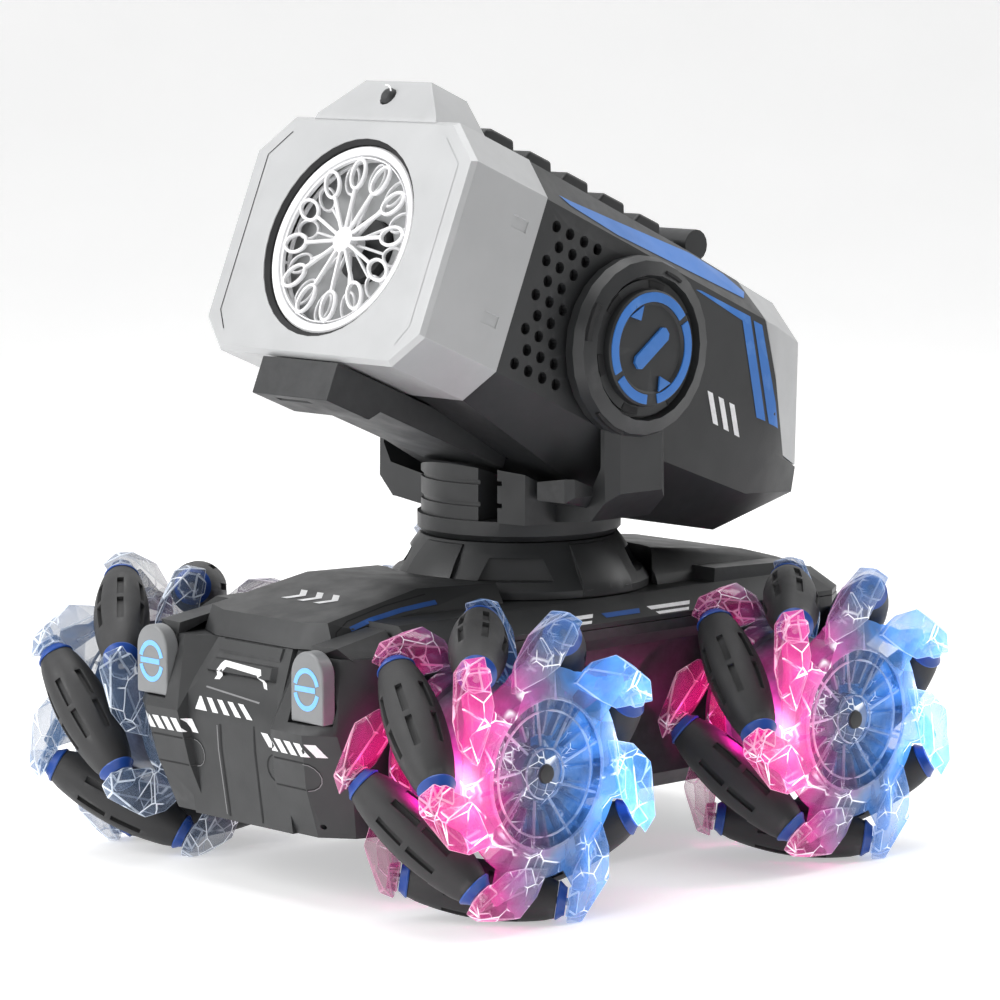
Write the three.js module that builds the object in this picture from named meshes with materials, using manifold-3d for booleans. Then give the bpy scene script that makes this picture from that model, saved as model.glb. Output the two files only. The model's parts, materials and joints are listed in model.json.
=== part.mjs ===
import * as THREE from 'three';
import { mergeVertices } from 'three/addons/utils/BufferGeometryUtils.js';
import { ConvexGeometry } from 'three/addons/geometries/ConvexGeometry.js';
import Module from 'manifold-3d';

const wasm = await Module();
wasm.setup();

// ---------------------------------------------------------------- driving dimensions (mm)
// +Z up, the front of the robot faces -Y, the wheels stand on Z = 0.
const SHIFT = [0, 0, -0.2464];         // moves the assembly so that its box is centred on X = Y = 0
const WHEEL_R = 50;              // wheel radius over the rollers
const WHEEL_Z = 50;              // height of the wheel axes
const WHEEL_Y = 73.05;           // half the wheelbase
const WHEEL_X = 82.7;            // middle plane of each wheel
const ROLLERS = 7;
const ROLLER_RC = 40.3;          // roller axis radius at its middle
const ROLLER_PHASE = 1.5;        // degrees
const PIN_R = 1.25;
const ROLLER_BORE = 1.6;
const AXLE_R = 2.0;
const WALL = 2.4;                // moulded shell thickness
const BODY_W = 52;               // half-width of the tub's side panels
const RIDGE_W = 57;              // half-width of the ridge under the deck
const TUB_Z0 = 24, TUB_Z1 = 84;  // tub floor and rim heights
const DECK_Z = 92.5;             // top of the deck plate
const YAW_Y = 13;                // turret yaw axis
const RING_R = 35.5;             // turntable ring
const PIVOT_Z = 178.3;           // head tilt axis
const HEAD_TILT = 22.61;         // barrel elevation at rest, degrees
const HEAD_Y = -69.88, HEAD_Z = 216.26;   // centre of the front face
const PIV_V = 91.1, PIV_W = -3.1;         // tilt axis in the head's own frame
const FACE_W = 54.9, FACE_H = 42.2;       // half-sizes of the front bezel
const GAP = 0.3;

// ---------------------------------------------------------------- helpers
const solid = (g) => {
  g.deleteAttribute('normal');
  g.deleteAttribute('uv');
  const m = mergeVertices(g, 1e-4);
  return new wasm.Manifold(new wasm.Mesh({
    numProp: 3,
    vertProperties: Float32Array.from(m.attributes.position.array),
    triVerts: Uint32Array.from(m.index.array),
  }));
};
const hull = (pts) => solid(new ConvexGeometry(pts.map((p) => new THREE.Vector3(p[0], p[1], p[2]))));
const box = (x0, x1, y0, y1, z0, z1) => {
  const g = new THREE.BoxGeometry(x1 - x0, y1 - y0, z1 - z0);
  g.translate((x0 + x1) / 2, (y0 + y1) / 2, (z0 + z1) / 2);
  return solid(g);
};
const basis = {
  x: new THREE.Matrix4().makeBasis(new THREE.Vector3(0, 1, 0), new THREE.Vector3(0, 0, 1), new THREE.Vector3(1, 0, 0)),
  y: new THREE.Matrix4().makeBasis(new THREE.Vector3(1, 0, 0), new THREE.Vector3(0, 0, 1), new THREE.Vector3(0, -1, 0)),
  z: new THREE.Matrix4(),
};
// outline points are (y, z) for axis x, (x, z) for axis y and (x, y) for axis z
const prism = (axis, pts, a0, a1, holes = []) => {
  const s = new THREE.Shape(pts.map((p) => new THREE.Vector2(p[0], p[1])));
  for (const h of holes) s.holes.push(new THREE.Path(h.map((p) => new THREE.Vector2(p[0], p[1]))));
  const g = new THREE.ExtrudeGeometry(s, { depth: a1 - a0, bevelEnabled: false, curveSegments: 1 });
  g.translate(0, 0, axis === 'y' ? -a1 : a0);
  g.applyMatrix4(basis[axis]);
  return solid(g);
};
// profile points are (radius, position along the axis); c = the other two coordinates of the axis
const turned = (axis, prof, c, seg) => {
  const g = new THREE.LatheGeometry(prof.map((p) => new THREE.Vector2(p[0], p[1])), seg);
  if (axis === 'z') g.rotateX(Math.PI / 2).translate(c[0], c[1], 0);
  if (axis === 'x') g.rotateZ(-Math.PI / 2).translate(0, c[0], c[1]);
  if (axis === 'y') g.translate(c[0], 0, c[1]);
  let m = solid(g);
  if (m.volume() < 0) {
    const flipped = g.clone();
    const idx = flipped.index.array;
    for (let i = 0; i < idx.length; i += 3) { const t = idx[i]; idx[i] = idx[i + 1]; idx[i + 1] = t; }
    m = solid(flipped);
  }
  return m;
};
const rod = (axis, r, a0, a1, c, seg) => turned(axis, [[0, a0], [r, a0], [r, a1], [0, a1]], c, seg);
const mirrorX = (m) => {
  const q = m.getMesh();
  const v = Float32Array.from(q.vertProperties);
  const t = Uint32Array.from(q.triVerts);
  for (let i = 0; i < v.length; i += q.numProp) v[i] = -v[i];
  for (let i = 0; i < t.length; i += 3) { const k = t[i]; t[i] = t[i + 1]; t[i + 1] = k; }
  return new wasm.Manifold(new wasm.Mesh({ numProp: 3, vertProperties: v, triVerts: t }));
};
const both = (pts) => pts.concat(pts.map((p) => [-p[0], p[1], p[2]]));
const sum = (list) => list.reduce((a, b) => a.add(b));
const place = (m, mat) => {
  const q = m.getMesh();
  const v = Float32Array.from(q.vertProperties);
  const p = new THREE.Vector3();
  for (let i = 0; i < v.length; i += 3) {
    p.set(v[i], v[i + 1], v[i + 2]).applyMatrix4(mat);
    v[i] = p.x; v[i + 1] = p.y; v[i + 2] = p.z;
  }
  return new wasm.Manifold(new wasm.Mesh({ numProp: 3, vertProperties: v, triVerts: Uint32Array.from(q.triVerts) }));
};

const group = new THREE.Group();
const chassis = new THREE.Group();
const head = new THREE.Group();
group.position.set(SHIFT[0], SHIFT[1], SHIFT[2]);
head.position.set(0, HEAD_Y, HEAD_Z);
head.rotation.x = -THREE.MathUtils.degToRad(HEAD_TILT);
group.add(chassis, head);
const finish = {
  black: [0x26282b, 0.55, 0.0], rubber: [0x1b1c1e, 0.85, 0.0], silver: [0xb4b7ba, 0.4, 0.35],
  clear: [0x9fd4f2, 0.1, 0.0], white: [0xf0f0f0, 0.45, 0.0], blue: [0x1a6fd0, 0.4, 0.0],
  grey: [0x6d6f72, 0.45, 0.0], steel: [0xb8bcc0, 0.3, 0.9], yellow: [0xd8b23a, 0.5, 0.0],
  green: [0x1f6b3a, 0.5, 0.0], cell: [0x2a61b8, 0.5, 0.0], dark: [0x1c1d1f, 0.6, 0.0],
};
const add = (parent, name, m, look) => {
  const q = m.getMesh();
  const g = new THREE.BufferGeometry();
  g.setAttribute('position', new THREE.BufferAttribute(Float32Array.from(q.vertProperties), 3));
  g.setIndex(new THREE.BufferAttribute(Uint32Array.from(q.triVerts), 1));
  g.computeVertexNormals();
  const [color, roughness, metalness] = finish[look];
  const mesh = new THREE.Mesh(g, new THREE.MeshStandardMaterial({ color, roughness, metalness }));
  mesh.name = name;
  parent.add(mesh);
  return mesh;
};

// ---------------------------------------------------------------- mecanum wheels
// wheel frame: axis along X, outer side towards +X
const S2 = Math.SQRT1_2;
const rollerR = (s) => WHEEL_R - Math.sqrt(ROLLER_RC * ROLLER_RC + s * s / 2);
const rollerFrame = (deg) => {
  const a = THREE.MathUtils.degToRad(deg);
  const radial = new THREE.Vector3(0, Math.cos(a), Math.sin(a));
  const tangent = new THREE.Vector3(0, -Math.sin(a), Math.cos(a));
  const axis = new THREE.Vector3(S2, 0, 0).addScaledVector(tangent, S2);
  const third = new THREE.Vector3().crossVectors(radial, axis);
  const m = new THREE.Matrix4().makeBasis(radial, axis, third);
  m.setPosition(radial.clone().multiplyScalar(ROLLER_RC));
  return m;
};
const rollerSolid = () => turned('y', [
  [ROLLER_BORE, -27], [4.6, -27], [rollerR(24), -24], [rollerR(14), -14], [rollerR(0), 0],
  [rollerR(14), 14], [rollerR(24), 24], [4.6, 27], [ROLLER_BORE, 27], [ROLLER_BORE, -27]], [0, 0], 10);
// one star arm: the eye that holds a roller pin, and its root on the barrel
const starArm = (() => {
  const pts = [];
  for (const [s, r, n] of [[27.3, 4.5, 5], [29.9, 3.2, 4]]) {
    for (let i = 0; i < n; i++) {
      const b = i * 2 * Math.PI / n;
      const u = new THREE.Vector3(ROLLER_RC, 0, 0).addScaledVector(new THREE.Vector3(1, 0, 0), r * Math.cos(b));
      // local coordinates: (radial, x, tangent)
      pts.push([Math.min(22.4, s * S2 + r * Math.sin(b) * S2), u.x, s * S2 - r * Math.sin(b) * S2]);
    }
  }
  for (const [x, rad, tan] of [[18.2, 20, 20.5], [18.2, 20, 26], [22.4, 20, 16.3], [22.4, 20, 24]]) pts.push([x, rad, tan]);
  return pts;
})();
const toWheel = (p, deg, flip) => {
  const a = THREE.MathUtils.degToRad(deg);
  const x = flip ? -p[0] : p[0], rad = p[1], tan = flip ? -p[2] : p[2];
  return [x, rad * Math.cos(a) - tan * Math.sin(a), rad * Math.sin(a) + tan * Math.cos(a)];
};
const hubSolid = () => {
  const parts = [turned('x', [
    [2.5, -21], [2.5, 13], [9, 17.5], [12, 15.5], [23.5, 17], [24.5, 22.4], [29, 22.4], [31, 18.2],
    [25.5, 14], [25.5, -14], [31, -18.2], [29, -22.4], [2.5, -21]], [0, 0], 14)];
  for (let k = 0; k < ROLLERS; k++) {
    const deg = ROLLER_PHASE + k * 360 / ROLLERS;
    parts.push(hull(starArm.map((p) => toWheel(p, deg, false))));
    parts.push(hull(starArm.map((p) => toWheel(p, deg, true))));
    parts.push(place(rod('y', PIN_R, -28.5, 28.5, [0, 0], 4), rollerFrame(deg)));
  }
  return sum(parts);
};
const roller = rollerSolid();
const hub = hubSolid();
const axle = rod('x', AXLE_R, -56, 11.2, [0, 0], 10);
for (const [corner, sx, sy] of [['front_left', 1, -1], ['rear_left', 1, 1], ['front_right', -1, -1], ['rear_right', -1, 1]]) {
  const wheel = new THREE.Group();
  wheel.position.set(sx * WHEEL_X, sy * WHEEL_Y, WHEEL_Z);
  if (sx < 0) wheel.rotation.z = Math.PI;
  chassis.add(wheel);
  add(wheel, corner + '_wheel_hub', hub, 'clear');
  add(wheel, corner + '_drive_shaft', axle, 'steel');
  for (let k = 0; k < ROLLERS; k++) {
    const m = add(wheel, corner + '_roller_' + (k + 1), roller, 'rubber');
    m.applyMatrix4(rollerFrame(ROLLER_PHASE + k * 360 / ROLLERS));
  }
}

// ---------------------------------------------------------------- chassis tub
const tubProfile = (g) => {
  const half = [[46 - g * 0.7, TUB_Z0 + g], [BODY_W - g, 30 + g * 0.6], [BODY_W - g, 76 + g * 0.5], [RIDGE_W - g, 80.5 + g * 0.4], [RIDGE_W - g, TUB_Z1 + (g ? 4 : 0)]];
  return half.concat(half.slice().reverse().map((p) => [-p[0], p[1]]));
};
const scaleProfile = (y, kx, z0) => tubProfile(0).map((p) => [p[0] * kx, y, Math.max(p[1], z0)]);
let tub = prism('y', tubProfile(0), -87, 112).add(
  hull(tubProfile(0).map((p) => [p[0], 111.9, p[1]]).concat(scaleProfile(122, 0.88, 31))));
tub = tub.subtract(prism('y', tubProfile(WALL), -84.6, 113.5));
for (const y of [-WHEEL_Y, WHEEL_Y]) tub = tub.subtract(rod('x', 3.4, -60, 60, [y, WHEEL_Z], 12));
tub = tub.subtract(box(-27, 27, -31, 37, 20, 28));
tub = tub.subtract(box(-3.3, 3.3, -58, -44, 20, 28));
const rail = sum([box(30.1, 33, -36.5, 78, 20.4, 24.2), box(27.6, 33, -36.5, 78, 20.4, 21.5)]);
tub = sum([tub, rail, mirrorX(rail), box(-33, 33, -39, -36.5, 20.4, 24.2)]);
for (const y of [-73, 73]) tub = tub.add(box(-20, 20, y - 7, y + 7, 26, 35.6));
for (const x of [-36, 36]) for (const y of [-24, 32]) tub = tub.add(rod('z', 2.6, 26, 65.6, [x, y], 8));
// grooves across the side panels between the wheels
for (const z of [43, 57, 71]) {
  const groove = box(51.2, 53, -14, 14, z - 0.5, z + 0.5);
  tub = tub.subtract(groove).subtract(mirrorX(groove));
}
add(chassis, 'chassis_tub', tub, 'black');

add(chassis, 'battery_door', box(-29.7, 29.7, -36.1, 42, 21.9, 23.7)
  .add(box(-12, 12, 36, 38, 20.9, 22)).add(box(-12, 12, 32, 34, 20.9, 22)), 'dark');
add(chassis, 'battery_pack', sum([
  rod('y', 9.3, -31, 33, [-10.5, 37.5], 16), rod('y', 9.3, -31, 33, [10.5, 37.5], 16),
  box(-10.5, 10.5, -30, 32, 29, 46)]), 'cell');
add(chassis, 'power_switch', sum([box(-6.5, 6.5, -59, -47, 26.8, 29.2), box(-2.7, 2.7, -57, -50, 22.2, 27)]), 'grey');
add(chassis, 'control_board', sum([
  box(-40, 40, -28, 36, 66, 67.6), box(-10, 4, -6, 8, 67.5, 69.5), box(14, 24, 10, 24, 67.5, 70.5),
  box(-34, -22, -20, -8, 67.5, 74), box(22, 34, -22, -12, 67.5, 74), box(-30, -12, 22, 32, 67.5, 72)]), 'green');
for (const [name, s] of [['front_drive_motor', -1], ['rear_drive_motor', 1]]) {
  const y0 = s < 0 ? -84 : 62, c0 = s < 0 ? -62.2 : 36, c1 = s < 0 ? -36 : 62.2;
  let m = box(-33, 33, y0, y0 + 22, 36, 62);
  for (const x of [-16, 16]) {
    m = m.add(rod('y', 10, c0, c1, [x, 50], 16));
    m = m.subtract(rod('x', 2.5, x < 0 ? -34 : 25, x < 0 ? -25 : 34, [s * WHEEL_Y, WHEEL_Z], 12));
  }
  add(chassis, name, m, 'yellow');
}

// ---------------------------------------------------------------- front fascia and headlights
const lobe = (g) => [
  [20 + g, -110.5 + g, 24.5 + g], [36, -110.5 + g, 24.5 + g], [46 - g, -103 + g, 24.5 + g], [51 - g, -87.3, 24.5 + g], [20 + g, -87.3, 24.5 + g],
  [22 + g, -117 + g, 42], [38, -117.5 + g, 42], [50 - g, -108 + g, 42], [54.5 - g, -96, 42], [54.5 - g, -87.3, 42],
  [24 + g, -120.5 + g, 60], [40, -121 + g, 60], [50 - g, -114.5 + g, 60], [55.5 - g, -100, 60], [56 - g, -87.3, 60],
  [30 + g, -112 + g, 84 - g], [46, -109 + g, 84 - g], [55 - g, -98, 84 - g], [57 - g, -87.3, 84 - g], [20 + g, -105 + g, 84 - g], [20 + g, -87.3, 84 - g]];
const centre = (g) => both([
  [25, -112 + g, 24.3 + g], [25, -117 + g, 58], [24, -116.6 + g, 66], [20, -113 + g, 72], [19, -106.5 + g, 84 - g], [25, -87.3, 24.3 + g], [25, -87.3, 84 - g]]);
const hump = (g) => [
  [33.8 + g, -112 + g, 83], [33.8 + g, -111 + g, 87.5 - g], [45 - g, -110 + g, 87.5 - g], [49 - g, -106 + g, 83], [33.8 + g, -87.4, 91 - g], [43 - g, -87.4, 91 - g], [51 - g, -87.4, 83]];
const fasciaSide = hull(lobe(0)).add(hull(hump(0)));
let fascia = sum([fasciaSide, mirrorX(fasciaSide), hull(centre(0))]);
const fill = sum([hull(lobe(WALL)), mirrorX(hull(lobe(WALL))), hull(centre(WALL))]);
const behind = box(-60, 60, -108, -80, 20, 95);
fascia = fascia.subtract(fill.add(place(fill, new THREE.Matrix4().makeTranslation(0, 1.5, 0))));
const podOutline = (x, g) => {
  const pts = [[x - 7.9 - g, 63.5 - g], [x + 7.9 + g, 63.5 - g]];
  for (let i = 0; i <= 8; i++) {
    const a = i * Math.PI / 8;
    pts.push([x + (7.9 + g) * Math.cos(a), 79 + (7.9 + g) * Math.sin(a)]);
  }
  return pts;
};
for (const s of [-1, 1]) fascia = fascia.subtract(prism('y', podOutline(s * 39.8, 0.4), -126, -112.6));
// ledges of the nose
fascia = sum([fascia, hull(both([[17, -105.8, 82], [15.5, -109.2, 80.5], [15, -107.4, 83.8], [17, -104, 84], [16, -109, 78]])),
  hull(both([[18, -112, 73], [16, -114, 74.3], [14.5, -111.8, 77.8], [17, -108, 78]]))]);
add(chassis, 'front_fascia', fascia, 'black');
for (const [name, s] of [['left_headlight', 1], ['right_headlight', -1]]) {
  add(chassis, name, prism('y', podOutline(s * 39.8, 0), -118.6, -113), 'grey');
}

// ---------------------------------------------------------------- deck cover
const bandOut = hull(both([
  [RIDGE_W, -87, TUB_Z1 + GAP], [RIDGE_W, 112, TUB_Z1 + GAP], [50, 122, TUB_Z1 + GAP], [RIDGE_W, -87, 86], [RIDGE_W, 112, 86], [50, 122, 86],
  [46.5, -85, DECK_Z], [46.5, 108, DECK_Z], [42, 117, DECK_Z]]));
const bandIn = hull(both([
  [54.4, -84.6, TUB_Z1 - 1], [54.4, 111, TUB_Z1 - 1], [48, 119, TUB_Z1 - 1], [54.4, -84.6, 85.4],
  [54.4, 111, 85.4], [48, 119, 85.4], [44.6, -83, 90.1], [44.6, 107, 90.1], [41, 114.6, 90.1]]));
const hoodOut = hull(both([
  [20, -106.8, TUB_Z1 + GAP], [33, -101, TUB_Z1 + GAP], [33.3, -60, TUB_Z1 + GAP], [20, -103.5, 92.6], [29.5, -100.5, 93.2], [32.5, -92, 90.5],
  [28, -60, 100.4], [18, -60, 101], [30, -26, 99.2], [34, -26, 92], [33, -60, 94]]));
const hoodIn = hull(both([
  [18, -104.2, TUB_Z1 - 1], [30.6, -99, TUB_Z1 - 1], [30.9, -60, TUB_Z1 - 1], [18, -101.2, 90.2], [27, -98.5, 90.6], [30, -90, 88],
  [26, -60, 97.8], [17, -60, 98.3], [28, -26, 96.6], [31.6, -26, 90], [30.6, -60, 92]]));
const rearOut = hull(both([
  [38, 44, 91], [38, 116, 91], [27, 44, 104.6], [27, 97, 99.3], [30, 111, 95.6], [36, 44, 96], [36, 112, 94.5], [20, 40, 104.8]]));
const rearIn = hull(both([
  [35, 60, 88], [35, 112, 88], [25, 62, 100], [25, 96, 96.5], [28, 109, 93]]));
const padOut = hull(both([[47, 62, 91], [47, 110, 91], [45.5, 64, 97.2], [45.5, 104, 96], [42, 112, 93.4]]));
let deck = sum([bandOut, hoodOut, rearOut, padOut]);
deck = deck.subtract(rod('z', 46.4, DECK_Z, 120, [0, YAW_Y], 36));
deck = deck.subtract(bandIn).subtract(hoodIn.subtract(rod('z', 47.5, DECK_Z - WALL, 120, [0, YAW_Y], 24))).subtract(rearIn);
deck = deck.subtract(rod('z', 13.2, 80, 100, [0, YAW_Y], 24));
add(chassis, 'deck_cover', deck, 'black');

let base = turned('z', [[13.2, 92.8], [45.6, 92.8], [45.6, 95.4], [41.5, 100.5], [37, 107.5], [34.6, 110.7], [13.2, 110.7], [13.2, 92.8]], [0, YAW_Y], 32);
for (let k = 0; k < 4; k++) {
  const a = (k * 90 - 45) * Math.PI / 180;
  const dir = (r, t, z) => [r * Math.cos(a) - t * Math.sin(a), YAW_Y + r * Math.sin(a) + t * Math.cos(a), z];
  // recessed panel window between the shoulders
  base = base.subtract(hull([dir(43, -13, 98.4), dir(43, 13, 98.4), dir(37.4, -13, 98.4), dir(37.4, 13, 98.4), dir(43, -9, 106), dir(43, 9, 106), dir(35.6, -9, 106), dir(35.6, 9, 106)]));
}
add(chassis, 'turntable_base', base, 'black');

// ---------------------------------------------------------------- yoke
let yoke = turned('z', [[0, 84.5], [16, 84.5], [16, 89.7], [12.6, 89.7], [12.6, 111], [33.6, 111], [35.5, 113], [35.5, 118], [0, 118]], [0, YAW_Y], 30);
let column = prism('x', [[-24, 117], [-2, 117], [-2, 130.8], [-24, 137.8]], -23, 13).intersect(rod('z', 34, 116, 140, [0, YAW_Y], 36));
yoke = yoke.add(column);
const armLow = hull([-1, 27].flatMap((y) => [[47.5, y, 119.6], [50, y, 119.6], [47.5, y, 125], [54.7, y, 138], [56.6, y, 138], [57, y, 126.5]])
  .concat([3, 23].flatMap((y) => [[60, y, 138], [60, y, 129.5]])));
const armHigh = hull([-1, 27].flatMap((y) => [[54.7, y, 137.8], [56.6, y, 137.8], [54.7, y, 176], [56.6, y, 176]])
  .concat([3, 23].flatMap((y) => [[60, y, 137.8], [60, y, 176]])));
const eye = turned('x', [[12.6, 54.7], [30.6, 54.7], [31, 58.5], [29.4, 62], [24.6, 63.4], [23.7, 60.4], [12.6, 60.4], [12.6, 54.7]], [YAW_Y, PIVOT_Z], 24);
// web that joins each arm to the ring, with a top that follows the belly of the head
const web = hull([-1, 4.4].flatMap((y) => {
  const d = y < 0 ? 0 : 2.4;
  return [[20, y, 117.5], [31, y, 117.5], [36.7, y, 119.7], [48.5, y, 119.6], [54.9, y, 125.8], [20, y, 126.3 - d], [36, y, 126.3 - d], [43.5, y, 128.7 - d], [54.9, y, 132.2 - d]];
}));
const side = sum([armLow, armHigh.subtract(rod('x', 20, 50, 70, [YAW_Y, PIVOT_Z], 24)), eye, web]);
yoke = sum([yoke, side, mirrorX(side),
  hull([[20, -16, 117.5], [31, -13.5, 117.5], [33.4, -8, 117.5], [33.4, 2, 117.5], [20, 2, 117.5], [20, -16, 135.8], [31, -13.5, 134.8], [33.4, -8, 131.6], [33.4, 2, 126.8], [20, 2, 126.8]]),
  hull([[35.4, -12, 126.5], [48.6, -12, 126.5], [51, -9.5, 128.5], [51, -0.5, 128.5], [35.4, -0.5, 124], [48, -0.5, 124], [35.4, -12, 132.7], [48.6, -12, 134.7], [51, -9.5, 134.7], [51, -0.5, 131.2], [35.4, -0.5, 127.2]])]);
// the rear edge of the ring slopes away under the belly of the head
yoke = yoke.subtract(prism('x', [[38.2, 118.2], [50, 109.8], [50, 119.5], [38.2, 119.5]], -32, 32));
add(chassis, 'yoke', yoke, 'black');
const cap = turned('x', [[0, 60.8], [22.9, 60.8], [22.9, 62.4], [19.6, 64.6], [0, 65.2]], [YAW_Y, PIVOT_Z], 24);
add(chassis, 'left_pivot_cap', cap, 'blue');
add(chassis, 'right_pivot_cap', mirrorX(cap), 'blue');

// ---------------------------------------------------------------- head (frame: x, v back along the barrel, w up)
const outer = hull(both([
  [41, 36, 41.8], [53.5, 36, 29.3], [53.5, 36, -31], [42.5, 36, -41.9],
  [41, 117, 40.2], [53.5, 117, 28.2], [53.5, 117, -34], [35, 126, -54],
  [38, 168, 38.9], [53.3, 158, 27.3], [53.3, 174, -14], [53, 166, -31.5],
  [45.5, 178.6, 28], [45.5, 194.4, -13.5], [44.5, 197, -21.5], [35, 174, -44]]));
const inner = hull(both([
  [39.8, 33, 39.4], [51.1, 33, 28.2], [51.1, 33, -30], [41.4, 33, -39.4],
  [39.8, 117, 37.8], [51.1, 117, 27.2], [51.1, 117, -32.9], [33.9, 126, -51.4],
  [37, 165.5, 36.3], [50.9, 156.5, 26.2], [50.9, 171.5, -14], [50.5, 164, -30.2],
  [43.6, 175.6, 27], [43.6, 191.4, -13.5], [42.6, 193.6, -20.6], [33.9, 172.6, -41.4]]));
const front = (d) => prism('x', [[30, -70], [220, -70], [220, -13 - d], [182.3 + d, -13 - d], [151 + d, 27.8], [147 + d, 39], [143 + d, 60], [30, 60]], -70, 70);
// clearance over the turntable ring, turned from the robot's frame into the head's
const toHead = new THREE.Matrix4().makeTranslation(0, HEAD_Y, HEAD_Z).multiply(new THREE.Matrix4().makeRotationX(-THREE.MathUtils.degToRad(HEAD_TILT))).invert();
const ringPocket = (g) => place(rod('z', 38 + g, 90, 124 + g, [0, YAW_Y], 28), toHead);
let housing = outer.subtract(ringPocket(0)).intersect(front(0)).subtract(inner.subtract(ringPocket(WALL)));
const traySide = (g) => [[0, -43 + g], [0, -56 - g], [20 + g, -56 - g], [24 + g, -52 - g], [84 + g, -52 - g], [84 + g, -43 + g]];
housing = housing.subtract(prism('x', traySide(0.6), -19.6, 19.6));
for (const s of [-1, 1]) housing = housing.add(rod('x', 12, s < 0 ? -59.6 : 52, s < 0 ? -52 : 59.6, [PIV_V, PIV_W], 24));
add(head, 'head_housing', housing, 'black');
const cover = outer.subtract(front(0.5).add(prism('x', [[150, -70], [220, -70], [220, -12.5], [182, -12.5]], -70, 70))).subtract(inner);
add(head, 'rear_cap', cover, 'silver');

const faceOutline = (g) => {
  const h = [[40.8 - g * 0.4, FACE_H - g], [FACE_W - g, FACE_H - 12.9 - g * 0.4], [FACE_W - g, -FACE_H + 10.9 + g * 0.4], [43.3 - g * 0.4, -FACE_H + g]];
  return h.concat(h.slice().reverse().map((p) => [-p[0], p[1]])).reverse();
};
const ring = (r, n, cx = 0, cy = 0) => Array.from({ length: n }, (_, i) => [cx + r * Math.cos(2 * Math.PI * i / n), cy + r * Math.sin(2 * Math.PI * i / n)]);
const edge = 1.6;
let bezel = hull(faceOutline(edge).map((p) => [p[0], 0, p[1]]).concat(faceOutline(0).map((p) => [p[0], edge, p[1]]), faceOutline(0).map((p) => [p[0], 35.5, p[1]])));
bezel = bezel.add(hull(both([[30.5, 0.6, 41.5], [29.6, 0.6, 43.6], [16.4, 5.6, 57.5], [16.4, 23, 57.5], [22, 31, 44], [26, 35, 41.5]])));
bezel = bezel.subtract(prism('y', faceOutline(2.8), 3, 40));
bezel = bezel.subtract(rod('y', 34.9, -2, 6, [0, 0], 40));
bezel = bezel.subtract(rod('y', 3.3, -2, 10, [0, 51], 12));
add(head, 'front_bezel', bezel, 'silver');

// bubble wheel: outer ring, twelve dipping loops and spokes
const holes = [];
for (let k = 0; k < 12; k++) {
  const a = k * Math.PI / 6;
  const at = (r, t) => [r * Math.cos(a) - t * Math.sin(a), r * Math.sin(a) + t * Math.cos(a)];
  const loop = [];
  for (let i = 0; i < 6; i++) { const b = i * Math.PI / 3; loop.push(at(24.2 + 5.2 * Math.cos(b), 4.1 * Math.sin(b))); }
  holes.push(loop);
  const c = a + Math.PI / 12;
  const ct = (r, t) => [r * Math.cos(c) - t * Math.sin(c), r * Math.sin(c) + t * Math.cos(c)];
  holes.push([ct(5.6, 0), ct(18, 2.9), ct(18, -2.9)]);
}
let disc = prism('y', ring(32.2, 24), 2.2, 4.6, holes);
disc = disc.add(rod('y', 4, 2.2, 9, [0, 0], 12)).subtract(rod('y', 1.7, 3.6, 10, [0, 0], 8));
add(head, 'bubble_wheel', disc, 'white');
let motor = turned('y', [[0, 4.4], [1.3, 4.4], [1.3, 12], [11, 12], [11, 46], [1.3, 46], [1.3, 66], [0, 66]], [0, 0], 20);
motor = sum([motor, box(-50.7, 50.7, 36.4, 40, -3, 3), box(-3, 3, 36.4, 40, -36, 38.6)]);
add(head, 'bubble_motor', motor, 'dark');
let fan = turned('y', [[1.7, 50], [8, 50], [8, 60], [1.7, 60], [1.7, 50]], [0, 0], 16);
for (let k = 0; k < 7; k++) {
  const blade = hull([[6.5, 51, -1.2], [6.5, 59, 2.4], [6.5, 59, 0.8], [6.5, 51, -2.8], [29, 51, -4], [29, 59, 5.2], [29, 59, 3.6], [29, 51, -5.6]]);
  fan = fan.add(place(blade, new THREE.Matrix4().makeRotationY(k * 2 * Math.PI / 7)));
}
add(head, 'fan_impeller', fan, 'white');

// bubble-solution tray under the barrel
let tray = prism('x', traySide(0), -19, 19);
tray = tray.subtract(box(-16.8, 16.8, 2.4, 81.6, -54, -40)).add(box(-16.9, 16.9, 20.4, 82, -52, -49.4));
add(head, 'solution_tray', tray, 'dark');

// accessory rail and the knob at its rear end
const railPts = [[40, 42.3], [40, 50], [42.5, 55]];
for (let k = 0; k < 5; k++) {
  const v0 = 45 + k * 19.4;
  railPts.push([v0, 56 - k * 0.4], [v0 + 11, 56 - k * 0.4], [v0 + 13, 51.6 - k * 0.4], [v0 + 17.4, 51.6 - k * 0.4]);
}
railPts.splice(railPts.length - 1, 1, [139, 50], [139, 40.2], [117, 40.7]);
add(head, 'top_rail', prism('x', railPts.slice().reverse(), -8, 8), 'black');
add(head, 'rail_knob', sum([rod('x', 5.7, -11, 11, [150.5, 52.6], 16), hull([[-5, 141, 40.2], [5, 141, 40.2], [-5, 155, 39.4], [5, 155, 39.4], [-5, 145, 52], [5, 145, 52], [-5, 155, 52], [5, 155, 52]])]), 'dark');

export default group;
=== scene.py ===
import bpy
import bmesh
import json
import math
from mathutils import Vector, Matrix
from mathutils.bvhtree import BVHTree

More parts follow.
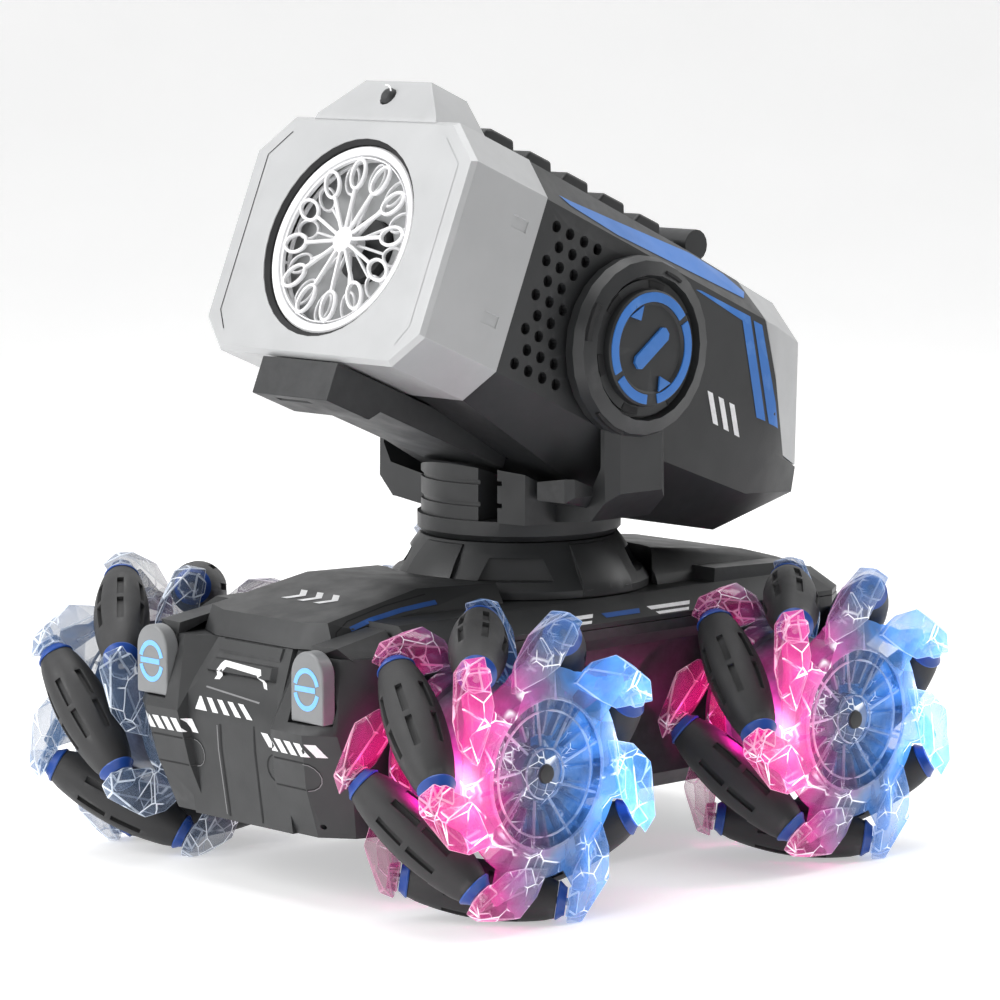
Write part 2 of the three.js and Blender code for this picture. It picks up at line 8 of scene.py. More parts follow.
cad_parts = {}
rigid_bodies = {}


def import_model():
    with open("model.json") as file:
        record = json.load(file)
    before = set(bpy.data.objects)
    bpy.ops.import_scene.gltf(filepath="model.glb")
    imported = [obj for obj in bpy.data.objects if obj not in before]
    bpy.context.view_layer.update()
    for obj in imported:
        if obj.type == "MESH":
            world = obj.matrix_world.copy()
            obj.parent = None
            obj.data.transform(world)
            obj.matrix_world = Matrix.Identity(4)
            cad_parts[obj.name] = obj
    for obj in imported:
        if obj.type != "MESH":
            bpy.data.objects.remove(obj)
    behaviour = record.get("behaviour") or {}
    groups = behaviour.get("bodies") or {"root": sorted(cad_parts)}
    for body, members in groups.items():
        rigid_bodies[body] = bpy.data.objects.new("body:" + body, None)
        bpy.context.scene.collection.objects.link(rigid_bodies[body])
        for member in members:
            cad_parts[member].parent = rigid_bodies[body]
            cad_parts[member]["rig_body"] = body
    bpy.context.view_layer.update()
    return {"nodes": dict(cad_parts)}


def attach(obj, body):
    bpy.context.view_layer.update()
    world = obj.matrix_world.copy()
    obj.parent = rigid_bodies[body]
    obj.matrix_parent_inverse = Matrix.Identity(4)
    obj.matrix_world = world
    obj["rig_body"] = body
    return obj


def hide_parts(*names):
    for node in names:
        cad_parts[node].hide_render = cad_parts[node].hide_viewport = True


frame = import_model()
NODES = frame["nodes"]

MM = 0.001
DZ = -0.2464                      # the frame's height offset, mm
WHEEL_X, WHEEL_Y, WHEEL_Z = 82.7, 73.05, 50.0
ROLLER_RC, ROLLER_PHASE = 40.3, 1.5
TILT = math.radians(22.61)
HEAD_Y, HEAD_Z = -69.88, 216.26
PIVOT = (13.0, 178.3)


# ------------------------------------------------------------------ mesh helpers
def V(x, y, z):
    return Vector((x, y, z)) * MM


def head_point(u, v, w):
    c, s = math.cos(TILT), math.sin(TILT)
    return V(u, HEAD_Y + v * c + w * s, HEAD_Z - v * s + w * c + DZ)


def head_matrix():
    m = Matrix.Rotation(-TILT, 4, "X")
    m.translation = V(0, HEAD_Y, HEAD_Z + DZ)
    return m


def new_mesh(name, verts, faces):
    me = bpy.data.meshes.new(name)
    me.from_pydata([tuple(v) for v in verts], [], faces)
    me.validate()
    return me


def finish_mesh(me, smooth=32.0):
    bm = bmesh.new()
    bm.from_mesh(me)
    bmesh.ops.recalc_face_normals(bm, faces=bm.faces)
    bm.to_mesh(me)
    bm.free()
    for p in me.polygons:
        p.use_smooth = True
    me.set_sharp_from_angle(angle=math.radians(smooth))
    return me


def make(name, me, mats, body=None, matrix=None, slot=None, replaces=(), weighted=True):
    o = bpy.data.objects.new(name, me)
    bpy.context.scene.collection.objects.link(o)
    if matrix is not None:
        o.matrix_world = matrix
    if not me.materials:
        for m in (mats if isinstance(mats, (list, tuple)) else [mats]):
            me.materials.append(m)
    if weighted:
        w = o.modifiers.new("soft_normals", "WEIGHTED_NORMAL")
        w.keep_sharp = True
        w.weight = 60
    if body:
        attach(o, body)
    if replaces:
        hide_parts(*replaces)
    return o


def lathe(prof, seg, axis="y", closed=False):
    """Profile points are (radius, position along the axis), mm."""
    verts, faces, rows = [], [], []
    for r, a in prof:
        if r < 1e-6:
            rows.append([len(verts)])
            verts.append((0, 0, a))
            continue
        row = []
        for i in range(seg):
            t = 2 * math.pi * i / seg
            row.append(len(verts))
            verts.append((r * math.cos(t), r * math.sin(t), a))
        rows.append(row)
    pairs = list(zip(rows, rows[1:])) + ([(rows[-1], rows[0])] if closed else [])
    for p, q in pairs:
        for i in range(seg):
            j = (i + 1) % seg
            if len(p) == 1 and len(q) == 1:
                continue
            if len(p) == 1:
                faces.append((p[0], q[j], q[i]))
            elif len(q) == 1:
                faces.append((p[i], p[j], q[0]))
            else:
                faces.append((p[i], p[j], q[j], q[i]))
    out = []
    for x, y, z in verts:
        if axis == "y":
            out.append(V(y, z, x))
        elif axis == "x":
            out.append(V(z, x, y))
        else:
            out.append(V(x, y, z))
    return out, faces


def merge(*parts):
    verts, faces = [], []
    for v, f in parts:
        k = len(verts)
        verts.extend(v)
        faces.extend(tuple(i + k for i in q) for q in f)
    return verts, faces


def moved(part, m):
    return [m @ Vector(v) for v in part[0]], part[1]


def hull(points):
    bm = bmesh.new()
    for p in points:
        bm.verts.new(V(*p))
    r = bmesh.ops.convex_hull(bm, input=bm.verts)
    bmesh.ops.delete(bm, geom=[v for v in bm.verts if not v.link_faces], context="VERTS")
    bmesh.ops.dissolve_limit(bm, angle_limit=math.radians(1.0), verts=bm.verts, edges=bm.edges)
    bm.verts.ensure_lookup_table()
    bm.verts.index_update()
    out = ([v.co.copy() for v in bm.verts], [tuple(v.index for v in f.verts) for f in bm.faces])
    bm.free()
    return out


def block(x0, x1, y0, y1, z0, z1):
    v = [V(x, y, z) for z in (z0, z1) for y in (y0, y1) for x in (x0, x1)]
    return v, [(0, 2, 3, 1), (4, 5, 7, 6), (0, 1, 5, 4), (2, 6, 7, 3), (0, 4, 6, 2), (1, 3, 7, 5)]


def slab(outline, a0, a1, axis="y"):
    """outline in the plane across the axis: (x, z) for y, (y, z) for x, (x, y) for z."""
    def at(p, a):
        if axis == "y":
            return V(p[0], a, p[1])
        if axis == "x":
            return V(a, p[0], p[1])
        return V(p[0], p[1], a)
    n = len(outline)
    v = [at(p, a0) for p in outline] + [at(p, a1) for p in outline]
    f = [tuple(range(n)), tuple(range(2 * n - 1, n - 1, -1))]
    f += [(i, i + n, (i + 1) % n + n, (i + 1) % n) for i in range(n)]
    return v, f


def tube(path, r, seg=8, closed=False, flat=1.0):
    """A tube along points given in mm; flat scales the section along the local second axis."""
    pts = [Vector(p) for p in path]
    n = len(pts)
    verts, faces = [], []
    ref = None
    for i, p in enumerate(pts):
        a = pts[(i - 1) % n] if (closed or i > 0) else p
        b = pts[(i + 1) % n] if (closed or i < n - 1) else p
        t = (b - a).normalized()
        if ref is None:
            ref = Vector((0, 1, 0)) if abs(t.y) < 0.9 else Vector((1, 0, 0))
        e1 = t.cross(ref).normalized()
        e2 = e1.cross(t).normalized()
        for k in range(seg):
            q = 2 * math.pi * k / seg
            verts.append((p + e1 * (r * math.cos(q)) + e2 * (r * flat * math.sin(q))) * MM)
    for i in range(n if closed else n - 1):
        j = (i + 1) % n
        for k in range(seg):
            h = (k + 1) % seg
            faces.append((i * seg + k, i * seg + h, j * seg + h, j * seg + k))
    if not closed:
        faces.append(tuple(range(seg - 1, -1, -1)))
        faces.append(tuple((n - 1) * seg + k for k in range(seg)))
    return verts, faces


def evaluated(o):
    dg = bpy.context.evaluated_depsgraph_get()
    dg.update()
    return bpy.data.meshes.new_from_object(o.evaluated_get(dg))


def clean_normals(me):
    bm = bmesh.new()
    bm.from_mesh(me)
    bmesh.ops.recalc_face_normals(bm, faces=bm.faces)
    bm.to_mesh(me)
    bm.free()


def cut(me, parts, union=()):
    """me with the cutter solids taken out of it, and the union solids added first."""
    o = bpy.data.objects.new("cut_body", me)
    bpy.context.scene.collection.objects.link(o)
    used = []
    for mode, group in (("UNION", union), ("DIFFERENCE", parts)):
        for g in group:
            cm = new_mesh("cutter", *g)
            clean_normals(cm)
            c = bpy.data.objects.new("cutter", cm)
            bpy.context.scene.collection.objects.link(c)
            used.append(c)
            b = o.modifiers.new("cut", "BOOLEAN")
            b.operation = mode
            b.solver = "EXACT"
            b.object = c
    out = evaluated(o)
    bpy.data.objects.remove(o)
    for c in used:
        bpy.data.objects.remove(c)
    return out


def soften(me, bevel, angle=28.0, segments=2, flat=2.0, smooth=35.0, edge=-1):
    """Joins coplanar triangles, rounds the sharp edges and smooths by angle. bevel in mm."""
    bm = bmesh.new()
    bm.from_mesh(me)
    bmesh.ops.remove_doubles(bm, verts=bm.verts, dist=0.004 * MM)
    bmesh.ops.dissolve_degenerate(bm, dist=0.004 * MM, edges=bm.edges)
    bmesh.ops.dissolve_limit(bm, angle_limit=math.radians(flat), verts=bm.verts, edges=bm.edges, use_dissolve_boundaries=False)
    if bevel > 0:
        edges = [e for e in bm.edges if len(e.link_faces) == 2 and e.calc_face_angle(0) > math.radians(angle)]
        if edges:
            bmesh.ops.bevel(bm, geom=edges, offset=bevel * MM, offset_type="OFFSET", segments=segments,
                            profile=0.5, affect="EDGES", clamp_overlap=True, miter_outer="SHARP", material=edge)
    bmesh.ops.remove_doubles(bm, verts=bm.verts, dist=0.004 * MM)
    big = [f for f in bm.faces if len(f.verts) > 4]
    bmesh.ops.triangulate(bm, faces=big, quad_method="BEAUTY", ngon_method="BEAUTY")
    bm.to_mesh(me)
    bm.free()
    for p in me.polygons:
        p.use_smooth = True
    me.set_sharp_from_angle(angle=math.radians(smooth))
    return me


def refine(node, mat, bevel=0.5, slot=None, cuts=(), union=(), **kw):
    src = NODES[node]
    me = src.data.copy()
    me.name = node + "_skin"
    bm = bmesh.new()
    bm.from_mesh(me)
    bmesh.ops.remove_doubles(bm, verts=bm.verts, dist=0.002 * MM)
    bm.to_mesh(me)
    bm.free()
    if cuts or union:
        me = cut(me, cuts, union)
    me.materials.clear()
    for p in me.polygons:
        p.material_index = 0
    while me.uv_layers:
        me.uv_layers.remove(me.uv_layers[0])
    soften(me, bevel, **kw)
    return make(node + "_shell", me, mat, body=src["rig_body"], slot=slot, replaces=(node,))


def tree_of(o):
    me = evaluated(o)
    v = [o.matrix_world @ x.co for x in me.vertices]
    t = BVHTree.FromPolygons(v, [tuple(p.vertices) for p in me.polygons])
    bpy.data.meshes.remove(me)
    return t


def decal(name, pts, tree, out, mat, body, slot=None, lift=0.14, step=2.0, far=12.0, smooth=30.0):
    """A thin printed shape: the outline pts (mm, in the row frame) laid on a surface, facing out."""
    n = Vector(out).normalized()
    a = n.orthogonal().normalized()
    b = n.cross(a)
    c = sum((Vector(p) for p in pts), Vector()) / len(pts)
    flat = [((Vector(p) - c).dot(a), (Vector(p) - c).dot(b)) for p in pts]
    bm = bmesh.new()
    vs = [bm.verts.new((x, y, 0)) for x, y in flat]
    bm.faces.new(vs)
    bmesh.ops.triangulate(bm, faces=bm.faces)
    for k, axis in ((0, Vector((1, 0, 0))), (1, Vector((0, 1, 0)))):
        lo, hi = min(p[k] for p in flat), max(p[k] for p in flat)
        x = math.floor(lo / step) * step + step
        while x < hi:
            bmesh.ops.bisect_plane(bm, geom=bm.verts[:] + bm.edges[:] + bm.faces[:], plane_co=axis * x, plane_no=axis, dist=1e-5)
            x += step
    gone = []
    for v in bm.verts:
        p = (c + a * v.co.x + b * v.co.y) * MM
        hit, normal, idx, d = tree.ray_cast(p + n * far * MM, -n, 2.4 * far * MM)
        if hit is None:
            gone.append(v)
            continue
        v.co = hit + n * (lift * MM)
    bmesh.ops.delete(bm, geom=gone, context="VERTS")
    for f in bm.faces:
        f.normal_update()
        if f.normal.dot(n) < 0:
            f.normal_flip()
    me = bpy.data.meshes.new(name)
    bm.to_mesh(me)
    bm.free()
    for p in me.polygons:
        p.use_smooth = True
    me.set_sharp_from_angle(angle=math.radians(smooth))
    return make(name, me, mat, body=body, slot=slot, weighted=False)


def mirrored(pts):
    return [(-p[0], p[1], p[2]) for p in pts]


# ------------------------------------------------------------------ materials
class Nodes:
    def __init__(self, name):
        self.m = bpy.data.materials.new(name)
        self.m.use_nodes = True
        self.t = self.m.node_tree
        self.t.nodes.clear()
        self.out = self.n("ShaderNodeOutputMaterial")

    def n(self, kind, **kw):
        x = self.t.nodes.new(kind)
        for k, v in kw.items():
            setattr(x, k, v)
        return x

    def l(self, a, b):
        self.t.links.new(a, b)

    def coords(self):
        return self.n("ShaderNodeTexCoord").outputs["Object"]

    def noise(self, co, scale, detail=4.0, rough=0.55):
        x = self.n("ShaderNodeTexNoise")
        x.inputs["Scale"].default_value = scale
        x.inputs["Detail"].default_value = detail
        x.inputs["Roughness"].default_value = rough
        self.l(co, x.inputs["Vector"])
        return x.outputs["Fac"]

    def span(self, v, a, b, c, d, smooth=False):
        x = self.n("ShaderNodeMapRange")
        if smooth:
            x.interpolation_type = "SMOOTHSTEP"
        for i, k in enumerate((a, b, c, d)):
            x.inputs[i + 1].default_value = k
        self.l(v, x.inputs[0])
        return x.outputs[0]

    def mix(self, fac, a, b):
        x = self.n("ShaderNodeMix", data_type="RGBA")
        if isinstance(fac, float):
            x.inputs[0].default_value = fac
        else:
            self.l(fac, x.inputs[0])
        for s, i in ((a, 6), (b, 7)):
            if isinstance(s, (tuple, list)):
                x.inputs[i].default_value = (*s[:3], 1)
            else:
                self.l(s, x.inputs[i])
        return x.outputs[2]

    def math(self, op, a, b):
        x = self.n("ShaderNodeMath", operation=op)
        for i, s in enumerate((a, b)):
            if isinstance(s, (int, float)):
                x.inputs[i].default_value = s
            else:
                self.l(s, x.inputs[i])
        return x.outputs[0]


def surface(name, color, rough=0.45, metal=0.0, grain=1400.0, bump=0.10, vary=0.14, wear=0.3, wear_color=None,
            spec=0.5, coat=0.0, streak=False):
    k = Nodes(name)
    b = k.n("ShaderNodeBsdfPrincipled")
    k.l(b.outputs[0], k.out.inputs[0])
    co = k.coords()
    if streak:
        mp = k.n("ShaderNodeMapping")
        mp.inputs["Scale"].default_value = (1.0, 0.05, 1.0)
        k.l(co, mp.inputs[0])
        big = k.noise(mp.outputs[0], 160.0)
    else:
        big = k.noise(co, 34.0)
    low = tuple(c * (1 - vary) for c in color)
    high = tuple(min(1.0, c * (1 + vary)) for c in color)
    base = k.mix(k.span(big, 0.35, 0.65, 0.0, 1.0), low, high)
    geo = k.n("ShaderNodeNewGeometry")
    edge = k.span(geo.outputs["Pointiness"], 0.515, 0.60, 0.0, wear, smooth=True)
    worn = k.math("MULTIPLY", edge, k.span(k.noise(co, 260.0), 0.35, 0.7, 0.2, 1.0))
    wc = wear_color or tuple(min(1.0, c * 2.4 + 0.03) for c in color)
    k.l(k.mix(worn, base, wc), b.inputs["Base Color"])
    k.l(k.span(k.noise(co, 90.0), 0.3, 0.7, max(0.02, rough - 0.07), min(1.0, rough + 0.07)), b.inputs["Roughness"])
    b.inputs["Metallic"].default_value = metal
    b.inputs["Specular IOR Level"].default_value = spec
    b.inputs["Coat Weight"].default_value = coat
    bp = k.n("ShaderNodeBump")
    bp.inputs["Strength"].default_value = bump
    bp.inputs["Distance"].default_value = 0.00025
    k.l(k.noise(co, grain, 3.0), bp.inputs["Height"])
    k.l(bp.outputs[0], b.inputs["Normal"])
    return k.m


def printed(name, color, rough=0.5, glow=0.0):
    k = Nodes(name)
    b = k.n("ShaderNodeBsdfPrincipled")
    k.l(b.outputs[0], k.out.inputs[0])
    co = k.coords()
    spots = k.span(k.noise(co, 420.0), 0.3, 0.6, 0.0, 1.0)
    k.l(k.mix(spots, tuple(c * 0.86 for c in color), color), b.inputs["Base Color"])
    k.l(k.span(k.noise(co, 120.0), 0.3, 0.7, rough - 0.08, rough + 0.08), b.inputs["Roughness"])
    if glow:
        b.inputs["Emission Color"].default_value = (*color, 1)
        b.inputs["Emission Strength"].default_value = glow
    bp = k.n("ShaderNodeBump")
    bp.inputs["Strength"].default_value = 0.06
    bp.inputs["Distance"].default_value = 0.0002
    k.l(k.noise(co, 1500.0, 2.0), bp.inputs["Height"])
    k.l(bp.outputs[0], b.inputs["Normal"])
    return k.m


def wheel_light(k, co, low, high, power=1.0):
    """Colour and strength of the light held in the clear wheel: magenta on one side of the hub, blue on the other."""
    sep = k.n("ShaderNodeSeparateXYZ")
    k.l(co, sep.inputs[0])
    wob = k.span(k.noise(co, 60.0, 3.0), 0.3, 0.7, -0.007, 0.007)
    y = k.math("ADD", sep.outputs["Y"], wob)
    t = k.span(y, -0.040, 0.040, 0.0, 1.0)
    ramp = k.n("ShaderNodeValToRGB")
    el = ramp.color_ramp.elements
    el[0].position, el[0].color = 0.0, (0.50, 0.0, 0.17, 1)
    el[1].position, el[1].color = 1.0, (0.10, 0.40, 0.95, 1)
    for pos, c in ((0.22, (0.66, 0.03, 0.30)), (0.38, (0.46, 0.14, 0.42)), (0.50, (0.20, 0.24, 0.42)), (0.64, (0.07, 0.24, 0.62)), (0.82, (0.08, 0.32, 0.85))):
        e = el.new(pos)
        e.color = (*c, 1)
    k.l(t, ramp.inputs[0])
    side = k.span(k.math("ABSOLUTE", y, 0.0), 0.004, 0.030, 0.10, 1.0, smooth=True)
    up = k.span(k.math("ABSOLUTE", sep.outputs["Z"], 0.0), 0.012, 0.050, 1.0, 0.35, smooth=True)
    amount = k.span(k.math("MULTIPLY", side, up), 0.0, 1.0, low, high)
    amount = k.math("MULTIPLY", amount, k.span(k.noise(co, 130.0, 2.0), 0.3, 0.7, 0.55, 1.35))
    # two hot spots of painted light, fixed in the wheel's own frame
    spots = None
    for centre in ((0.010, -0.034, -0.001), (0.012, 0.038, 0.012)):
        d = k.n("ShaderNodeVectorMath", operation="DISTANCE")
        k.l(co, d.inputs[0])
        d.inputs[1].default_value = centre
        f = k.span(d.outputs["Value"], 0.003, 0.019, 1.0, 0.0, smooth=True)
        f = k.math("MULTIPLY", f, f)
        spots = f if spots is None else k.math("MAXIMUM", spots, f)
    inward = k.span(sep.outputs["X"], -0.018, 0.008, 0.04, 1.0, smooth=True)
    color = k.mix(k.math("MULTIPLY", spots, 0.75), ramp.outputs[0], (0.95, 0.90, 1.0))
    total = k.math("ADD", k.math("MULTIPLY", amount, inward), k.math("MULTIPLY", spots, high * 1.5))
    return color, k.math("MULTIPLY", total, power)


def facets(k, co, scale):
    """Random value per facet, and thin painted highlight strokes where two facets meet."""
    cell = k.n("ShaderNodeTexVoronoi")
    cell.inputs["Scale"].default_value = scale
    k.l(co, cell.inputs["Vector"])
    sep = k.n("ShaderNodeSeparateColor")
    k.l(cell.outputs["Color"], sep.inputs[0])
    edge = k.n("ShaderNodeTexVoronoi", feature="DISTANCE_TO_EDGE")
    edge.inputs["Scale"].default_value = scale
    k.l(co, edge.inputs["Vector"])
    # painted highlight strokes along the facet edges
    glint_line = k.span(edge.outputs["Distance"], 0.008, 0.030, 1.0, 0.0)
    glint_line = k.math("MULTIPLY", glint_line, k.span(k.noise(co, 70.0, 2.0), 0.48, 0.56, 0.0, 1.0))
    return sep.outputs[0], glint_line


def clear_plastic(name, tint, a0, a1, low, high, rough=0.06, power=1.0, white=0.0, glint_strength=1.0, scale=95.0):
    k = Nodes(name)
    b = k.n("ShaderNodeBsdfPrincipled")
    k.l(b.outputs[0], k.out.inputs[0])
    co = k.coords()
    cell, glint_lines = facets(k, co, scale)
    glint_lines = k.math("MULTIPLY", glint_lines, glint_strength)
    shade = k.span(cell, 0.0, 1.0, 0.0, 1.0)
    base = k.mix(shade, tuple(c * 0.55 for c in tint), tint)
    k.l(k.span(k.noise(co, 200.0), 0.3, 0.7, rough * 0.5, rough * 2.0), b.inputs["Roughness"])
    lw = k.n("ShaderNodeLayerWeight")
    lw.inputs["Blend"].default_value = 0.45
    body = k.span(lw.outputs["Facing"], 0.0, 1.0, a0, a1)
    body = k.math("MULTIPLY", body, k.span(shade, 0.0, 1.0, 0.70, 1.30))
    k.l(k.math("MINIMUM", k.math("ADD", body, k.math("MULTIPLY", glint_lines, 0.55)), 1.0), b.inputs["Alpha"])
    color, strength = wheel_light(k, co, low, high, power)
    held = k.mix(0.72 * power, base, color)
    k.l(k.mix(glint_lines, held, (0.95, 0.97, 1.0)), b.inputs["Base Color"])
    # painted glint: the highlight strokes plus an even painted white glow set by white
    glint = k.math("MINIMUM", k.math("ADD", k.math("MULTIPLY", glint_lines, 0.7), white), 1.0)
    k.l(k.mix(glint, color, (0.90, 0.95, 1.0)), b.inputs["Emission Color"])
    strength = k.math("MULTIPLY", strength, k.span(shade, 0.0, 1.0, 0.60, 1.35))
    k.l(k.math("ADD", strength, k.math("MULTIPLY", glint, 0.30)), b.inputs["Emission Strength"])
    b.inputs["Specular IOR Level"].default_value = 0.9
    bp = k.n("ShaderNodeBump")
    bp.inputs["Strength"].default_value = 0.45
    bp.inputs["Distance"].default_value = 0.0010
    k.l(k.noise(co, 150.0, 2.0), bp.inputs["Height"])
    k.l(bp.outputs[0], b.inputs["Normal"])
    return k.m


def light_pipe(name, low, high, power=1.0):
    k = Nodes(name)
    b = k.n("ShaderNodeBsdfPrincipled")
    k.l(b.outputs[0], k.out.inputs[0])
    co = k.coords()
    color, strength = wheel_light(k, co, low, high, power)
    k.l(k.mix(k.span(k.noise(co, 300.0), 0.3, 0.7, 0.0, 1.0), (0.05, 0.05, 0.07), (0.12, 0.12, 0.16)), b.inputs["Base Color"])
    b.inputs["Roughness"].default_value = 0.3
    k.l(color, b.inputs["Emission Color"])
    k.l(strength, b.inputs["Emission Strength"])
    return k.m


BLACK = surface("black_plastic", (0.022, 0.023, 0.024), rough=0.44, bump=0.10, wear=0.20, wear_color=(0.13, 0.13, 0.135))
BLACK2 = surface("dark_plastic", (0.015, 0.016, 0.017), rough=0.50, bump=0.08, wear=0.2, wear_color=(0.09, 0.09, 0.095))
RUBBER = surface("roller_rubber", (0.022, 0.022, 0.023), rough=0.56, bump=0.30, grain=2200.0, wear=0.35, wear_color=(0.10, 0.10, 0.10))
SILVER = surface("silver_paint", (0.43, 0.435, 0.44), rough=0.36, metal=0.20, bump=0.05, vary=0.035, wear=0.3, wear_color=(0.82, 0.83, 0.84))
WHITE = surface("white_plastic", (0.82, 0.82, 0.83), rough=0.34, bump=0.05, vary=0.04, wear=0.1, wear_color=(0.9, 0.9, 0.9))
GREY_IN = surface("grey_duct", (0.34, 0.345, 0.35), rough=0.55, bump=0.06, vary=0.08, wear=0.1)
GREY = surface("lens_grey", (0.20, 0.205, 0.21), rough=0.35, bump=0.05, vary=0.05, wear=0.2)
BLUE = surface("blue_plastic", (0.012, 0.060, 0.30), rough=0.34, bump=0.06, vary=0.15, wear=0.2, wear_color=(0.06, 0.18, 0.55))
BLUE_PAINT = surface("blue_paint", (0.030, 0.165, 0.52), rough=0.38, bump=0.05, vary=0.10, wear=0.2, wear_color=(0.2, 0.4, 0.75))
STEEL = surface("pin_steel", (0.55, 0.56, 0.58), rough=0.26, metal=0.95, bump=0.05, vary=0.08, wear=0.2)
YELLOW = surface("gearbox_yellow", (0.60, 0.40, 0.06), rough=0.45, bump=0.06)
GREEN = surface("board_green", (0.02, 0.12, 0.05), rough=0.4, bump=0.06)
CELL = surface("cell_blue", (0.03, 0.12, 0.45), rough=0.35, bump=0.05)
SWITCH = surface("switch_grey", (0.16, 0.16, 0.165), rough=0.45)
INK = printed("white_print", (0.86, 0.86, 0.87))
SEAM = printed("seam_dark", (0.006, 0.006, 0.007), rough=0.7)
# painted highlight: grey lines for the lit edge beside dark seams
SEAM_LIT = printed("seam_highlight", (0.20, 0.20, 0.205), rough=0.5)
BLUE_PRINT = printed("blue_print", (0.010, 0.075, 0.30), rough=0.45)
LAMP = printed("lamp_blue", (0.16, 0.42, 0.85), rough=0.4, glow=0.35)
CLEARS = {}
# lit copies for the near wheels, dim for the far ones: power scales the painted LED glow, white adds an even painted
# white glow
for tag, power, white in (("lit", 1.0, 0.0), ("dim", 0.10, 0.10)):
    CLEARS[tag] = dict(
        claw=clear_plastic("clear_hub_" + tag, (0.16, 0.20, 0.28), 0.26, 0.85, 0.15, 1.15, power=power, white=white * 0.5),
        edge=clear_plastic("clear_edge_glint_" + tag, (0.85, 0.90, 0.95), 0.55, 0.95, 0.15, 0.75, power=power, white=0.45, glint_strength=0.3),
        plate=clear_plastic("clear_plate_" + tag, (0.16, 0.20, 0.26), 0.34, 0.90, 0.20, 1.10, power=power, white=white * 0.5, scale=80.0),
        dish=clear_plastic("clear_dish_" + tag, (0.16, 0.22, 0.27), 0.30, 0.85, 0.04, 0.50, power=power, white=white * 0.5, scale=150.0),
        rim=clear_plastic("clear_rim_glint_" + tag, (0.75, 0.82, 0.88), 0.50, 0.95, 0.10, 0.6, power=power, white=0.30, glint_strength=0.3),
        pipe=light_pipe("light_pipe_" + tag, 0.01, 0.9, power=power))


# ------------------------------------------------------------------ wheels
def roller_radius(s):
    return 50 - math.sqrt(ROLLER_RC ** 2 + s * s / 2)


def wheel_matrix(sx, sy):
    m = Matrix.Rotation(math.pi, 4, "Z") if sx < 0 else Matrix.Identity(4)
    m.translation = V(sx * WHEEL_X, sy * WHEEL_Y, WHEEL_Z + DZ)
    return m


def roller_matrix(k):
    a = math.radians(ROLLER_PHASE + k * 360 / 7)
    radial = Vector((0, math.cos(a), math.sin(a)))
    tangent = Vector((0, -math.sin(a), math.cos(a)))
    axis = (Vector((1, 0, 0)) + tangent).normalized()
    third = radial.cross(axis)
    m = Matrix((radial, axis, third)).transposed().to_4x4()
    m.translation = radial * (ROLLER_RC * MM)
    return m


prof = [(1.6, -23.9)] + [(roller_radius(s) - (0.25 if abs(s) > 23 else 0), s) for s in
                         (-23.9, -23.2, -21, -18, -15, -12, -8, -4, 0, 4, 8, 12, 15, 18, 21, 23.2, 23.9)] + [(1.6, 23.9)]
rubber = new_mesh("roller_rubber_mesh", *lathe(prof, 36, "y", closed=True))
clean_normals(rubber)
slots = []
for i in range(7):
    a = 2 * math.pi * (i + 0.25) / 7
    turn = Matrix.Rotation(a, 4, "Y")
    for s0, s1 in ((-12.4, -1.1), (1.1, 12.4)):
        r0, r1 = roller_radius(s0), roller_radius(s1)
        pts = [(x, y, z) for y, r in ((s0, r0), (s1, r1)) for x in (-1.15, 1.15) for z in (r - 1.5, r + 1.5)]
        slots.append(moved(hull(pts), turn))
rubber = cut(rubber, [merge(*slots)])
soften(rubber, 0.22, angle=50, segments=2, flat=0.4, smooth=32)

bush = merge(*[lathe([(1.6, s * 24.0), (roller_radius(24) + 0.05, s * 24.0), (roller_radius(24) + 0.15, s * 24.5), (roller_radius(24.9), s * 25.0), (5.0, s * 26.2), (4.6, s * 26.95), (1.6, s * 26.95)], 32, "y", closed=True) for s in (-1, 1)])
bush = finish_mesh(new_mesh("roller_bush_mesh", *bush))


def to_wheel(p, deg, flip):
    a = math.radians(deg)
    x, rad, tan = (-p[0], p[1], -p[2]) if flip else p
    return (x, rad * math.cos(a) - tan * math.sin(a), rad * math.sin(a) + tan * math.cos(a))


# one clear claw: it holds the end of a roller's pin and runs down to the rim of the barrel
CLAW = [(22.6, 47.0, 16.9), (22.6, 43.6, 16.9), (22.6, 46.2, 24.0), (22.6, 30.2, 16.8), (22.6, 31.0, 28.0),
        (20.6, 39.6, 30.0), (17.6, 47.2, 22.2), (17.6, 44.5, 27.0), (17.6, 30.4, 22.3), (17.6, 23.0, 30.5), (21.2, 24.0, 31.0),
        (19.0, 27.0, 21.2), (22.4, 24.0, 20.0), (16.6, 43.0, 25.2), (21.8, 31.4, 34.6), (20.8, 21.6, 33.6), (18.8, 30.4, 32.0), (18.8, 19.5, 31.0),
        (21.6, 13.4, 27.6), (18.6, 13.4, 27.0)]
EYE = [(x, rad, tan) for s, r, n in ((27.4, 5.3, 8), (31.0, 4.4, 8)) for i in range(n)
       for x, rad, tan in [(min(22.9, s * 0.7071 + r * math.sin(2 * math.pi * (i + 0.5) / n) * 0.7071),
                            ROLLER_RC + r * math.cos(2 * math.pi * (i + 0.5) / n),
                            s * 0.7071 - r * math.sin(2 * math.pi * (i + 0.5) / n) * 0.7071)]]


def claws(flip):
    out = []
    for k in range(7):
        deg = ROLLER_PHASE + k * 360 / 7
        out.append(hull([to_wheel(p, deg, flip) for p in CLAW]))
        out.append(hull([to_wheel(p, deg, flip) for p in EYE]))
    return out


claw_mesh = new_mesh("claw_mesh", *merge(*claws(False), *claws(True)))
# the bevel faces take the second material (clear_edge), a pale painted highlight along the claws' edges
soften(claw_mesh, 0.42, angle=24, segments=2, flat=0.5, smooth=24, edge=1)

